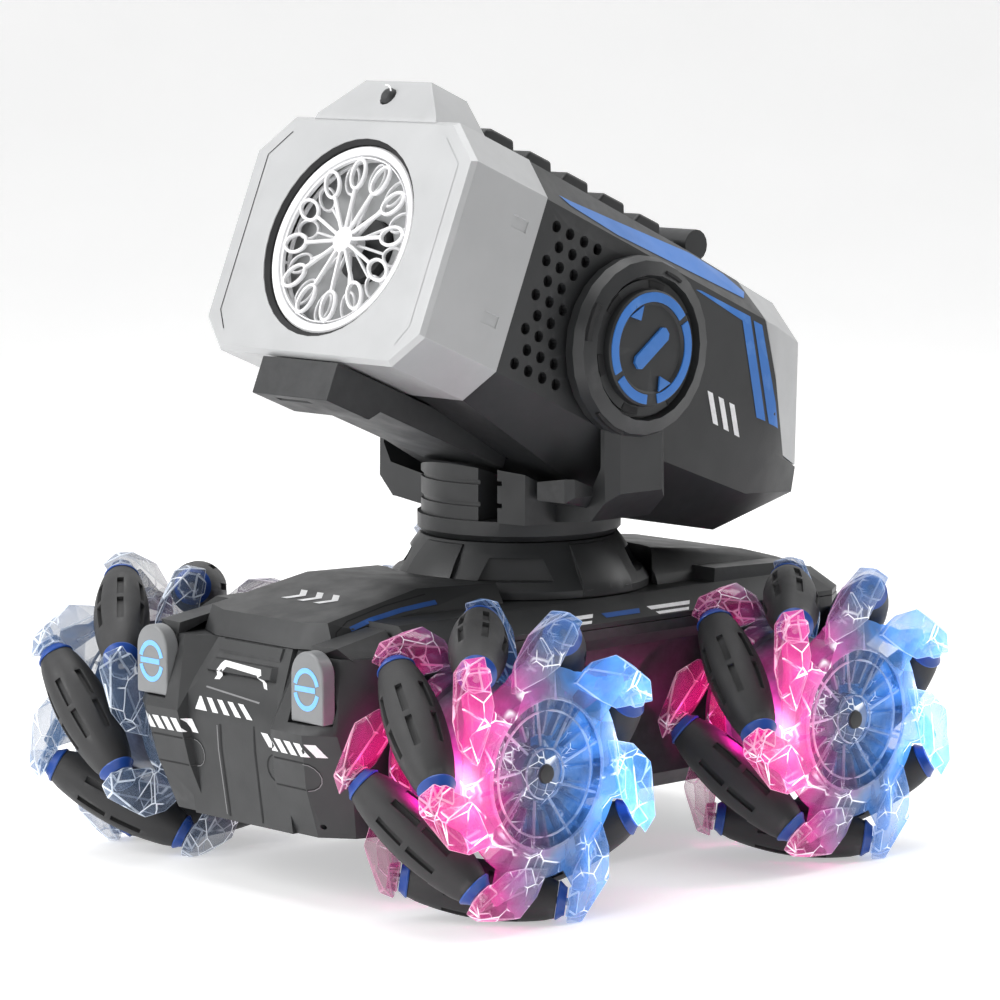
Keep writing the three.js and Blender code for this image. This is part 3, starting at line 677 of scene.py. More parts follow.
# faceted plate that joins the claws round the dish, wavy at its edge
plate_v, plate_f = [], []
EDGE = ((0.0, 36.5), (8.0, 35.2), (11.5, 34.4), (28.8, 34.4), (31.5, 43.5), (36.0, 45.0), (41.5, 41.0), (47.0, 37.4), (360 / 7, 36.5))
STOPS = [q for q in (0.0, 4.0, 8.0, 11.5, 16.0, 21.0, 26.0, 28.8, 31.5, 33.5, 36.0, 39.0, 41.5, 44.0, 47.0)]
NP = 7 * len(STOPS)
for turn in range(7):
    for q in STOPS:
        for (d0, r0), (d1, r1) in zip(EDGE, EDGE[1:]):
            if d0 <= q <= d1:
                out_r = r0 + (r1 - r0) * (q - d0) / (d1 - d0)
                break
        a = math.radians(ROLLER_PHASE + turn * 360 / 7 + q)
        mid = 24.2 + (out_r - 24.2) * 0.5
        bulge = 0.9 if out_r > 38 else 0.0
        for x, rr in ((22.2, 24.2), (20.6 + bulge, mid), (18.8 + bulge, out_r), (17.8 + bulge, out_r), (19.2, mid), (21.0, 24.2)):
            plate_v.append((x * MM, rr * math.cos(a) * MM, rr * math.sin(a) * MM))
for i in range(NP):
    j = (i + 1) % NP
    for q in range(6):
        q2 = (q + 1) % 6
        plate_f.append((6 * i + q, 6 * j + q, 6 * j + q2, 6 * i + q2))
rim = merge((plate_v, plate_f),
            lathe([(26.0, -22.2), (28.8, -22.2), (31.0, -18.4), (27.6, -14.6), (26.2, -14.6), (28.0, -18.6), (26.0, -20.6)], 56, "x", closed=True))
rim_mesh = new_mesh("rim_mesh", *rim)
clean_normals(rim_mesh)
finish_mesh(rim_mesh, 24)

# sloping ribs from the rim down into the barrel
ribs = []
for i in range(21):
    a = 2 * math.pi * i / 21
    m = Matrix.Rotation(a, 4, "X")
    ribs.append(moved(hull([(x, r, t) for x, r in ((20.6, 24.8), (17.6, 24.4), (18.4, 12.5), (15.6, 12.0)) for t in (-0.45, 0.45)]), m))
dish = merge(
    lathe([(8.6, 18.6), (11.8, 16.6), (17.0, 16.6), (23.6, 18.4), (24.4, 21.2), (25.2, 21.2), (24.6, 17.4), (17.4, 15.4), (11.6, 15.4), (8.6, 17.2)], 48, "x", closed=True),
    *ribs,
    lathe([(2.5, 16.0), (2.5, 19.6), (3.4, 20.6), (7.4, 20.0), (8.8, 18.4), (8.8, 15.4), (3.2, 13.2)], 12, "x", closed=True))
dish_mesh = finish_mesh(new_mesh("dish_mesh", *dish), 28)
spin = Matrix.Rotation(0.2, 4, "X")
# spokes and rings of the dish star; their clear_rim material adds a painted white glow
star = merge(*[moved(tube([(18.6, 9.0 * math.cos(2 * math.pi * i / 9), 9.0 * math.sin(2 * math.pi * i / 9)),
                           (20.2, 24.2 * math.cos(2 * math.pi * i / 9 + 0.12), 24.2 * math.sin(2 * math.pi * i / 9 + 0.12))], 0.5, 6), spin) for i in range(9)],
             tube([(21.6, 24.4 * math.cos(2 * math.pi * i / 48), 24.4 * math.sin(2 * math.pi * i / 48)) for i in range(48)], 0.55, 8, closed=True),
             tube([(20.4, 20.4 * math.cos(2 * math.pi * i / 48), 20.4 * math.sin(2 * math.pi * i / 48)) for i in range(48)], 0.4, 8, closed=True),
             tube([(20.4, 8.2 * math.cos(2 * math.pi * i / 40), 8.2 * math.sin(2 * math.pi * i / 40)) for i in range(40)], 0.35, 6, closed=True))
star_mesh = finish_mesh(new_mesh("dish_star_mesh", *star))

barrel = lathe([(20.5, -18.0), (24.6, -18.0), (27.0, -14.8), (25.4, -13.8), (25.4, 13.8), (27.0, 14.8), (24.6, 15.4), (23.4, 14.8), (23.4, -14.0), (20.5, -15.0)], 48, "x", closed=True)
core = merge(barrel, lathe([(2.5, -16.0), (22.6, -16.0), (22.6, -15.0), (7.0, -14.0), (6.0, 12.0), (2.5, 13.0)], 40, "x", closed=True),
             *[moved(hull([(-13.5, 5.5, -0.7), (-13.5, 5.5, 0.7), (11.0, 5.5, -0.7), (11.0, 5.5, 0.7), (-13.5, 22.8, -0.7), (-13.5, 22.8, 0.7), (4.0, 22.8, -0.7), (4.0, 22.8, 0.7)]), Matrix.Rotation(2 * math.pi * i / 7 + 0.3, 4, "X")) for i in range(7)])
core_mesh = finish_mesh(new_mesh("wheel_core_mesh", *core))

pins = merge(*[moved(lathe([(0, -29.6), (1.15, -29.6), (1.25, -29.2), (1.25, 29.2), (1.15, 29.6), (0, 29.6)], 10, "y"), roller_matrix(k)) for k in range(7)])
pin_mesh = finish_mesh(new_mesh("pin_mesh", *pins))
shaft_mesh = finish_mesh(new_mesh("shaft_mesh", *lathe([(0, -56), (1.7, -56), (2.0, -55.6), (2.0, 12.4), (1.7, 12.8), (0, 12.8)], 20, "x")))

cap_mesh = finish_mesh(new_mesh("hub_cap_mesh", *lathe([(0, 20.2), (2.4, 20.2), (3.2, 20.9), (2.9, 21.6), (0, 21.9)], 28, "x")))
WHEEL_SETS = {}

for corner, sx, sy in (("front_left", 1, -1), ("rear_left", 1, 1), ("front_right", -1, -1), ("rear_right", -1, 1)):
    wm = wheel_matrix(sx, sy)
    body = corner + "_wheel"
    lit = "lit" if sx > 0 else "dim"
    cl = CLEARS[lit]
    if lit not in WHEEL_SETS:
        WHEEL_SETS[lit] = [m.copy() for m in (claw_mesh, rim_mesh, dish_mesh, star_mesh, core_mesh)]
    claw_m, rim_m, dish_m, star_m, core_m = WHEEL_SETS[lit]
    make(corner + "_claws", claw_m, [cl["claw"], cl["edge"]], body, wm, "clear", (corner + "_wheel_hub",), weighted=False)
    make(corner + "_rim", rim_m, cl["plate"], body, wm, "clear", weighted=False)
    make(corner + "_dish", dish_m, cl["dish"], body, wm, "clear", weighted=False)
    make(corner + "_dish_star", star_m, cl["rim"], body, wm, "clear", weighted=False)
    make(corner + "_core", core_m, cl["pipe"], body, wm, "clear", weighted=False)
    make(corner + "_cap", cap_mesh, BLACK2, body, wm, "dark", weighted=False)
    make(corner + "_pins", pin_mesh, STEEL, body, wm, "steel", weighted=False)
    make(corner + "_shaft", shaft_mesh, STEEL, body, wm, "steel", (corner + "_drive_shaft",), weighted=False)
    for k in range(7):
        rm = wm @ roller_matrix(k)
        rb = f"{corner}_roller_{k + 1}"
        make(rb + "_rubber", rubber, RUBBER, rb, rm, "rubber", (rb,), weighted=False)
        make(rb + "_bush", bush, BLUE, rb, rm, "blue", weighted=False)


# ------------------------------------------------------------------ chassis
tub = refine("chassis_tub", BLACK, 0.7, "black")
deck = refine("deck_cover", BLACK, 0.9, "black", segments=3)

HM = Matrix.Identity(4)


def capsule(cx, cz, hw, hh, n=8):
    """Rounded outline, (x, z)."""
    pts = []
    for c, a0 in ((cx + hw - hh, -math.pi / 2), (cx - hw + hh, math.pi / 2)):
        for i in range(n + 1):
            a = a0 + math.pi * i / n
            pts.append((c + hh * math.cos(a), cz + hh * math.sin(a)))
    return pts


fascia_cuts = []
for s in (-1, 1):
    # small drain hole in the nose, one on each side
    fascia_cuts.append(moved(lathe([(0, -126), (0.9, -126), (0.9, -100), (0, -100)], 12, "y"), Matrix.Translation(V(s * 38.5, 0, 28.4 + DZ))))
fascia = refine("front_fascia", BLACK, 1.5, "black", cuts=fascia_cuts, segments=3, smooth=42)
fascia_tree = tree_of(fascia)
deck_tree = tree_of(deck)
tub_tree = tree_of(tub)


def bars(name, a, b, c, d, n, tree, out, mat, body, duty=0.58, lean=0.55, first_triangle=False):
    """n slanted bars between the corners a (upper left), b (upper right), c (lower right), d (lower left)."""
    a, b, c, d = (Vector(p) for p in (a, b, c, d))
    for i in range(n):
        u0, u1 = i / (n - 1 + lean + duty), (i + duty) / (n - 1 + lean + duty)
        sh = lean / (n - 1 + lean + duty)
        top = [a.lerp(b, u0), a.lerp(b, u1)]
        low = [d.lerp(c, u1 + sh), d.lerp(c, u0 + sh)]
        if first_triangle and i == 0:
            pts = [a.lerp(b, u0 + sh * 0.6), a.lerp(b, u1), d.lerp(c, u1 + sh), d.lerp(c, u0)]
        else:
            pts = top + low
        decal(f"{name}_{i + 1}", pts, tree, out, mat, body, "white")


FRONT = (0, -1, 0)
bars("slash_left_lobe", (15.0, -117, 57.0), (46.2, -117, 56.6), (46.2, -117, 52.4), (15.6, -117, 52.5), 6, fascia_tree, FRONT, INK, "chassis", duty=0.66)
bars("slash_right_lobe", (-46.5, -117, 56.6), (-18, -117, 57.0), (-18, -117, 52.4), (-46.5, -117, 52.4), 6, fascia_tree, FRONT, INK, "chassis", duty=0.66)
bars("slash_nose", (-18.4, -117, 65.2), (8.8, -117, 65.0), (10.8, -117, 60.4), (-18.8, -117, 60.6), 5, fascia_tree, FRONT, INK, "chassis", duty=0.5, first_triangle=True)
decal("nose_stripe", [(-12.6, -113, 71.0), (-9.8, -113, 77.6), (9.9, -113, 76.6), (14.9, -113, 70.6), (13.0, -113, 70.9), (9.2, -113, 74.7), (-7.0, -113, 75.7), (-9.9, -113, 71.2)],
      fascia_tree, FRONT, INK, "chassis", "white")


def outline_ring(pts, w):
    """Outline pts (x, z) as a closed band of width w drawn inside it: a list of quads."""
    n = len(pts)
    cx, cz = sum(p[0] for p in pts) / n, sum(p[1] for p in pts) / n
    quads = []
    ins = []
    for i, p in enumerate(pts):
        a, b = pts[i - 1], pts[(i + 1) % n]
        t = Vector((b[0] - a[0], b[1] - a[1])).normalized()
        nn = Vector((-t.y, t.x))
        if nn.dot(Vector((cx - p[0], cz - p[1]))) < 0:
            nn = -nn
        ins.append((p[0] + nn.x * w, p[1] + nn.y * w))
    for i in range(n):
        j = (i + 1) % n
        quads.append([pts[i], pts[j], ins[j], ins[i]])
    return quads


def line(name, path, w, tree, out, mat, body, slot=None, closed=False, lift=0.12, step=2.0):
    """A thin line of width w laid on a surface along path (mm, row frame)."""
    n = Vector(out).normalized()
    pts = [Vector(p) for p in path]
    m = len(pts)
    left, right = [], []
    for i, p in enumerate(pts):
        a = pts[(i - 1) % m] if (closed or i > 0) else p
        b = pts[(i + 1) % m] if (closed or i < m - 1) else p
        t = (b - a).normalized()
        s = t.cross(n).normalized()
        left.append(p + s * w / 2)
        right.append(p - s * w / 2)
    verts, faces = [], []
    for i in range(m if closed else m - 1):
        j = (i + 1) % m
        cnt = max(1, int((pts[j] - pts[i]).length / step + 0.5))
        for q in range(cnt):
            f0, f1 = q / cnt, (q + 1) / cnt
            k = len(verts)
            verts += [left[i].lerp(left[j], f0), left[i].lerp(left[j], f1), right[i].lerp(right[j], f1), right[i].lerp(right[j], f0)]
            faces.append((k, k + 1, k + 2, k + 3))
    out_v, ok = [], []
    for v in verts:
        hit, nm, idx, d = tree.ray_cast(v * MM + n * 0.012, -n, 0.03)
        ok.append(hit is not None)
        out_v.append((hit + n * lift * MM) if hit is not None else v * MM)
    faces = [f for f in faces if all(ok[i] for i in f)]
    if not faces:
        return None
    me = bpy.data.meshes.new(name)
    bm = bmesh.new()
    vs = [bm.verts.new(v) for v in out_v]
    for f in faces:
        bm.faces.new([vs[i] for i in f])
    bmesh.ops.remove_doubles(bm, verts=bm.verts, dist=1e-6)
    bmesh.ops.delete(bm, geom=[v for v in bm.verts if not v.link_faces], context="VERTS")
    for f in bm.faces:
        f.normal_update()
        if f.normal.dot(n) < 0:
            f.normal_flip()
    bm.to_mesh(me)
    bm.free()
    for p in me.polygons:
        p.use_smooth = True
    return make(name, me, mat, body=body, slot=slot, weighted=False)


for s in (-1, 1):
    tag = "left" if s > 0 else "right"
    c = capsule(s * 29.6, 45.6, 13.4, 4.6)
    line(f"badge_outline_{tag}", [(x, -115, z) for x, z in c], 0.5, fascia_tree, FRONT, SEAM, "chassis", "dark", closed=True, step=1.0)
    c = capsule(s * 29.6, 45.3, 13.4, 4.6)
    # painted highlight along one end of the badge outline
    line(f"badge_highlight_{tag}", [(x, -115, z) for x, z in c[:9]], 0.25, fascia_tree, FRONT, SEAM_LIT, "chassis", "black", lift=0.16, step=1.0)
# vertical channels of the nose; the lighter lines beside the middle channel and along the lip of the nose are painted
# highlights
line("nose_channel_left", [(11.5, -117, 58.5), (10.5, -117, 50), (10.2, -117, 25.5)], 0.8, fascia_tree, FRONT, SEAM, "chassis", "dark")
line("nose_channel_mid", [(-6.0, -117, 57.0), (-7.0, -117, 49), (-6.6, -117, 25.5)], 0.9, fascia_tree, FRONT, SEAM, "chassis", "dark")
line("nose_channel_mid_lit", [(-7.6, -117, 56.5), (-8.4, -117, 48), (-8.0, -117, 26)], 0.5, fascia_tree, FRONT, SEAM_LIT, "chassis", "black")
line("nose_lip_highlight", [(-15, -117, 68.4), (13.6, -117, 66.4)], 0.5, fascia_tree, FRONT, SEAM_LIT, "chassis", "black")

# headlights: grey lens with a split ring of light
for name, s in (("left_headlight", 1), ("right_headlight", -1)):
    cx = s * 39.8
    out = [(cx - 7.9, 63.5), (cx + 7.9, 63.5)] + [(cx + 7.9 * math.cos(i * math.pi / 14), 79 + 7.9 * math.sin(i * math.pi / 14)) for i in range(15)]
    me = new_mesh(name + "_lens", *slab([(x, z + DZ) for x, z in out], -118.6, -113.0))
    clean_normals(me)
    soften(me, 0.8, angle=40, segments=3, flat=0.5)
    lens = make(name + "_lens", me, GREY, "chassis", slot="grey", replaces=(name,))
    lt = tree_of(lens)
    for part, (a0, a1) in (("upper", (14, 166)), ("lower", (194, 346))):
        arc = [(cx + 5.5 * math.cos(math.radians(a0 + (a1 - a0) * i / 20)), -118, 74.6 + DZ + 6.2 * math.sin(math.radians(a0 + (a1 - a0) * i / 20))) for i in range(21)]
        line(f"{name}_glow_{part}", arc, 1.7, lt, FRONT, LAMP, "chassis", "blue", step=1.0)
    decal(f"{name}_glow_bar", [(cx - 5.6, -118, 73.5), (cx + 4.4, -118, 73.5), (cx + 4.4, -118, 75.3), (cx - 5.6, -118, 75.3)], lt, FRONT, LAMP, "chassis", "blue")

UP = (0, 0, 1)
# hood: three plain arrowheads, blue side line, seam round the hood's side
for i in range(3):
    x0 = -10.5 + i * 8.2
    decal(f"hood_arrow_{i + 1}", [(x0, -77.5, 97), (x0 + 3.2, -77.5, 97), (x0 + 7.4, -82, 97), (x0 + 3.2, -86.5, 97), (x0, -86.5, 97), (x0 + 4.2, -82, 97)],
          deck_tree, UP, INK, "chassis", "white")
for s in (-1, 1):
    tag = "left" if s > 0 else "right"
    side = (s * 1.0, 0, 0.5)
    line(f"hood_blue_{tag}", [(s * 32.6, -93, 90.6), (s * 32, -84, 92.6), (s * 31.6, -70, 94.4), (s * 31.6, -55, 95.4)], 1.7, deck_tree, side, BLUE_PRINT, "chassis", "blue")
    line(f"hood_seam_{tag}", [(s * 33, -100, 85.5), (s * 33, -98.5, 90.6), (s * 31.6, -93, 93.4), (s * 30.6, -76, 96.6), (s * 30, -58, 98.4)], 0.45, deck_tree, side, SEAM, "chassis", "dark")
    band = (s * 0.55, 0, 0.83)
    for j, (y0, y1) in enumerate(((22.9, 44.0), (-19.5, -2.6))):
        decal(f"band_stripe_{tag}_{2 * j + 1}", [(s * 52.8, y0, 88.3), (s * 52.8, y1, 88.3), (s * 54.4, y1 - 1.8, 87.3), (s * 54.4, y0 + 0.7, 87.3)], deck_tree, band, INK, "chassis", "white")
        decal(f"band_stripe_{tag}_{2 * j + 2}", [(s * 55.4, y0 + 1.8, 86.5), (s * 55.4, y1 - 3.1, 86.5), (s * 56.7, y1 - 4.4, 85.9), (s * 56.7, y0 + 2.3, 85.9)], deck_tree, band, INK, "chassis", "white")
    decal(f"band_blue_{tag}", [(s * 53.0, 1.0, 88), (s * 53.0, 19.0, 88), (s * 55.2, 17.5, 87), (s * 55.2, 1.5, 87)], deck_tree, band, BLUE_PRINT, "chassis", "blue")

lobes = []
for k4 in range(4):
    pts = []
    for rr, z in ((46.0, 93.2), (45.0, 98.0), (41.0, 104.0), (37.0, 108.4), (36.0, 109.8)):
        for da in (-14.5, -7.0, 0.0, 7.0, 14.5):
            a = math.radians(90 * k4 + da)
            pts.append((rr * math.cos(a), 13 + rr * math.sin(a), z + DZ))
    for z in (93.2, 109.8):
        for da in (-14.5, 14.5):
            a = math.radians(90 * k4 + da)
            pts.append((30 * math.cos(a), 13 + 30 * math.sin(a), z + DZ))
    lobes.append(hull(pts))
base = refine("turntable_base", BLACK, 1.0, "black", union=lobes, segments=3)
for node, mat, slot, bev in (("front_drive_motor", YELLOW, "yellow", 0.4), ("rear_drive_motor", YELLOW, "yellow", 0.4), ("battery_pack", CELL, "cell", 0.4),
                             ("battery_door", BLACK2, "dark", 0.4), ("power_switch", SWITCH, "switchgrey", 0.3), ("control_board", GREEN, "green", 0.15)):
    refine(node, mat, bev, slot)

# ------------------------------------------------------------------ yoke
yoke_cuts = []
for z in (123.6, 131.2):
    yoke_cuts.append(lathe([(33.0, z - 0.8 + DZ), (36, z - 0.8 + DZ), (36, z + 0.8 + DZ), (33.0, z + 0.8 + DZ)], 64, "z", closed=True))
yoke_cuts = [moved(c, Matrix.Translation(V(0, 13, 0))) for c in yoke_cuts]
yoke = refine("yoke", BLACK, 0.8, "black", cuts=[merge(*yoke_cuts)], segments=2)

# pivot discs: dark well, split blue ring and a slanted blue bar
PY, PZ = PIVOT[0], PIVOT[1] + DZ


def sector(r0, r1, a0, a1, x0, x1, n=None):
    n = n or max(3, int(abs(a1 - a0) / 5))
    inner = [(PY + r0 * math.cos(math.radians(a0 + (a1 - a0) * i / n)), PZ + r0 * math.sin(math.radians(a0 + (a1 - a0) * i / n))) for i in range(n + 1)]
    outer = [(PY + r1 * math.cos(math.radians(a0 + (a1 - a0) * i / n)), PZ + r1 * math.sin(math.radians(a0 + (a1 - a0) * i / n))) for i in range(n + 1)]
    return slab(outer + inner[::-1], x0, x1, "x")


for name, s in (("left_pivot_cap", 1), ("right_pivot_cap", -1)):
    at = Matrix.Translation(V(0, PY, PZ))
    flip = Matrix.Scale(-1, 4, (1, 0, 0)) if s < 0 else Matrix.Identity(4)
    v, f = moved(lathe([(0, 60.8), (22.9, 60.8), (22.9, 61.6), (19.9, 61.8), (19.6, 64.2), (19.0, 64.7), (15.2, 64.7), (14.6, 64.2), (14.4, 64.0), (0, 64.3)], 72, "x"), flip @ at)
    make(name + "_disc", finish_mesh(new_mesh(name + "_disc", v, f), 30), BLACK2, "turret", slot="dark", replaces=(name,))
    ring = merge(sector(15.6, 18.9, 33, 118, 64.2, 65.1), sector(15.6, 18.9, 118, 205, 64.2, 65.1), sector(15.6, 18.9, 212, 262, 64.2, 65.1), sector(15.6, 18.9, 278, 386, 64.2, 65.1),
                 slab([(PY + 15.2 * math.cos(math.radians(a)), PZ + 15.2 * math.sin(math.radians(a))) for a in (104, 132)] + [(PY - 5.2, PZ + 9.6)], 64.2, 65.05, "x"),
                 slab([(PY + 15.2 * math.cos(math.radians(a)), PZ + 15.2 * math.sin(math.radians(a))) for a in (282, 306)] + [(PY + 3.8, PZ - 9.6)], 64.2, 65.05, "x"))
    me = new_mesh(name + "_ring", *moved(ring, flip))
    clean_normals(me)
    soften(me, 0.2, angle=40, segments=2, flat=0.3)
    make(name + "_ring", me, BLUE_PAINT, "turret", slot="blue")
    bar = [(PY + x * math.cos(0.63) - y * math.sin(0.63), PZ + x * math.sin(0.63) + y * math.cos(0.63)) for x, y in ((-9.2, -1.4), (-7.8, -2.6), (7.6, -2.6), (9.2, -1.2), (9.2, 1.4), (7.8, 2.6), (-7.6, 2.6), (-9.2, 1.2))]
    me = new_mesh(name + "_bar", *moved(slab(bar, 63.9, 65.15, "x"), flip))
    clean_normals(me)
    soften(me, 0.25, angle=40, segments=2, flat=0.3)
    make(name + "_bar", me, BLUE_PAINT, "turret", slot="blue")
    # flat dark inlays of painted shade, standing in for the notches in the well and the slots in the collar
    notch_shade = merge(*[sector(20.2, 22.7, a, a + 20, 61.2, 61.95) for a in (8, 66, 124, 182, 240, 298)])
    me = new_mesh(name + "_notch_shade", *moved(notch_shade, flip))
    clean_normals(me)
    soften(me, 0.25, angle=40, segments=2, flat=0.3)
    make(name + "_notch_shade", me, SEAM, "turret", slot="dark")
    slot_shade = merge(sector(25.9, 27.0, 54, 71, 62.6, 63.5), sector(26.6, 29.0, 145, 172, 61.6, 63.2), sector(29.2, 30.6, 223, 250, 60.4, 61.9))
    me = new_mesh(name + "_slot_shade", *moved(slot_shade, flip))
    clean_normals(me)
    soften(me, 0.12, angle=40, segments=1, flat=0.3)
    make(name + "_slot_shade", me, SEAM, "turret", slot="dark")

# ------------------------------------------------------------------ head
H = head_matrix()
HINV = H.inverted()


def hp(u, v, w):
    p = head_point(u, v, w) / MM
    return (p.x, p.y, p.z)


bezel_cuts = []
for s in (-1, 1):
    for w0, w1, v0, v1 in ((14.9, 19.0, 23.2, 30.4), (-18.4, -14.3, 22.6, 29.8)):
        a, b = sorted((s * 54.5, s * 56))
        bezel_cuts.append(moved(block(a, b, v0, v1, w0, w1), H))
bezel = refine("front_bezel", SILVER, 1.3, "silver", cuts=[merge(*bezel_cuts)], segments=3, angle=24)
bezel_tree = tree_of(bezel)
FACE = tuple(H.to_3x3() @ Vector((0, -1, 0)))
line("bezel_seam", [hp(-38.5, 0, 36.2), hp(-47.8, 0, 27.6), hp(-47.8, 0, -28.4), hp(-43.2, 0, -35.0)], 0.4, bezel_tree, FACE, SEAM, "head", "dark")
line("bezel_seam_far", [hp(38.5, 0, 36.2), hp(47.8, 0, 27.6), hp(47.8, 0, -28.4), hp(43.2, 0, -35.0)], 0.22, bezel_tree, FACE, GREY_IN, "head", "silver")
dark_sheet = merge(lathe([(33.3, 1.5), (34.86, 0.35), (34.86, 5.4), (33.3, 5.4)], 72, "y", closed=True))
make("bezel_liner", finish_mesh(new_mesh("bezel_liner", *moved(dark_sheet, H))), SEAM, "head", slot="dark")
duct = lathe([(11.3, 15.2), (16, 13.4), (33.2, 9.6), (34.4, 9.6), (34.4, 34), (33.4, 34), (33.2, 10.8), (16, 14.6), (11.3, 16.4)], 64, "y", closed=True)
make("bubble_duct", finish_mesh(new_mesh("bubble_duct", *moved(duct, H))), GREY_IN, "head", slot="grey")
sight = merge(lathe([(0, 2.2), (1.5, 1.8), (2.6, 2.4), (3.2, 3.4), (3.2, 8), (0, 8)], 28, "y"))
make("sight_lens", finish_mesh(new_mesh("sight_lens", *moved(moved(sight, Matrix.Translation(V(0, 0, 51))), H))), BLACK2, "head", slot="dark")
# painted glint: a white arc on the rim of the sight lens
glint = tube([(3.35 * math.cos(0.4 + i * 0.16), 1.1, 51 + 3.35 * math.sin(0.4 + i * 0.16)) for i in range(9)], 0.28, 6)
make("sight_glint", finish_mesh(new_mesh("sight_glint", *moved(glint, H))), WHITE, "head", slot="silver")

# bubble wheel
wheel_parts = [lathe([(29.6, 3.4), (30.0, 2.2), (31.0, 1.6), (32.4, 1.7), (33.0, 2.4), (33.0, 4.4), (29.6, 4.4)], 84, "y", closed=True),
               lathe([(28.7, 2.8), (29.2, 2.4), (29.2, 4.2), (28.7, 4.2)], 84, "y", closed=True),
               lathe([(0, 1.7), (3.2, 1.7), (4.4, 2.3), (4.4, 5.0), (0, 5.0)], 28, "y")]
for layer, (turn0, v0, r0) in enumerate(((0.10, 2.9, 0.62), (0.36, 6.4, 0.5))):
    for i in range(12):
        a = turn0 + 2 * math.pi * i / 12
        ca, sa = math.cos(a), math.sin(a)

        def at(r, t, v):
            return (r * ca - t * sa, v, r * sa + t * ca)
        loop = [at(23.3 + 5.1 * math.cos(2 * math.pi * q / 22), 3.15 * math.sin(2 * math.pi * q / 22), v0) for q in range(22)]
        wheel_parts.append(tube(loop, r0, 7, closed=True, flat=1.5))
        wheel_parts.append(tube([at(3.6, 0, v0), at(18.3, 0, v0)], r0 * 1.05, 7, flat=1.4))
        if layer == 0:
            wheel_parts.append(tube([at(28.2, 0, v0), at(29.4, 0, v0)], r0, 6))
back_ring = lathe([(28.9, 6.0), (29.8, 6.0), (29.8, 7.2), (28.9, 7.2)], 72, "y", closed=True)
posts = [tube([(29.4 * math.cos(a), 4.2, 29.4 * math.sin(a)), (29.4 * math.cos(a), 6.2, 29.4 * math.sin(a))], 0.5, 6) for a in (0.3, 1.87, 3.44, 5.01)]
bw = finish_mesh(new_mesh("bubble_wheel_loops", *moved(merge(*wheel_parts, back_ring, *posts, lathe([(0, 5.0), (3.6, 5.0), (3.6, 9.6), (0, 9.6)], 24, "y")), H)), 38)
make("bubble_wheel_loops", bw, WHITE, "bubble_wheel", slot="white", replaces=("bubble_wheel",))

hole_at = [(-20.5, 219.7), (-14.3, 216.9), (-7.8, 214.1), (-1.6, 211.3), (-19.4, 212.8), (-13.2, 210.1), (-7.2, 207.4), (-25.2, 208.7), (-19, 206), (-12.6, 203.2),
           (-24.5, 201.8), (-18.2, 199), (-30, 197.7), (-23.7, 194.9), (-17.5, 191.9), (-29.3, 190.7), (-23.1, 187.8), (-34.7, 186.7), (-28.6, 183.8), (-22.3, 180.9),
           (-34, 179.6), (-27.8, 176.8), (-21.6, 174.2), (-39.6, 175.5), (-33.4, 172.6), (-27, 169.9), (-20.8, 167.3)]
vent = []
for y, z in hole_at:
    for s in (-1, 1):
        vent.append(moved(lathe([(0, -4), (2.05, -4), (2.05, 4), (0, 4)], 10, "x"), Matrix.Translation(V(s * 53.5, y, z))))
housing = refine("head_housing", BLACK, 0.9, "black", cuts=[merge(*vent)], angle=30, segments=2)
housing_tree = tree_of(housing)
# dark sheet behind the vent holes: painted shade of the head's inside seen through them
dark_sheet = merge(*[slab([(v, w) for v, w in ((37, 27), (66, 27), (66, -30), (37, -30))], a, b, "x") for a, b in ((49.9, 50.6), (-50.6, -49.9))])
make("vent_shade_sheet", finish_mesh(new_mesh("vent_shade_sheet", *moved(dark_sheet, H))), SEAM, "head", slot="dark")

STRIPE = [(49.12, -15.4, 229.7), (48.85, -9.7, 227.5), (46.36, 14.8, 219.6), (41.96, 53.3, 207.3), (42.6, 72.0, 200.2), (44.6, 79.0, 192.6), (49.0, 74.0, 190.8), (50.63, 44.5, 202.1), (52.36, 8.85, 215.7), (50.81, -11.6, 226.2)]
NARROW = [(53.5, 45.6, 195.5), (53.5, 48.2, 195.0), (53.4, 72.6, 184.8), (53.3, 80.8, 147.8), (53.3, 76.2, 149.4), (53.3, 68.7, 183.6)]
WIDE = [(53.4, 74.3, 183.3), (53.3, 78.6, 181.5), (53.3, 88.2, 144.6), (53.3, 82.5, 146.9)]
for s in (1, -1):
    tag = "left" if s > 0 else "right"
    f = (lambda q: q) if s > 0 else mirrored
    decal(f"stripe_top_{tag}", f(STRIPE), housing_tree, (s * 0.70, 0.28, 0.65), BLUE_PAINT, "head", "blue", lift=0.16)
    decal(f"stripe_narrow_{tag}", f(NARROW), housing_tree, (s, 0, 0), BLUE_PAINT, "head", "blue", lift=0.16)
    decal(f"stripe_wide_{tag}", f(WIDE), housing_tree, (s, 0, 0), BLUE_PAINT, "head", "blue", lift=0.16)
    for i in range(3):
        y0 = 51.5 + i * 5.4
        z0 = 160.5 - i * 2.4
        decal(f"side_mark_{tag}_{i + 1}", f([(53.5, y0, z0), (53.5, y0 + 2.6, z0 - 1.1), (53.5, y0 + 5.4, z0 - 12.6), (53.5, y0 + 2.8, z0 - 11.5)]), housing_tree, (s, 0, 0), INK, "head", "white", lift=0.16)

refine("rear_cap", SILVER, 1.0, "silver", angle=26, segments=3)
refine("top_rail", BLACK, 1.1, "black", segments=3)
refine("rail_knob", BLACK2, 0.7, "dark", segments=3)
tray_cut = [moved(block(-11, 5, 4, 6.4, -57.0, -55.4), H)]
refine("solution_tray", BLACK2, 0.9, "dark", cuts=tray_cut, segments=2)
refine("bubble_motor", BLACK2, 0.5, "dark")
refine("fan_impeller", WHITE, 0.3, "white")

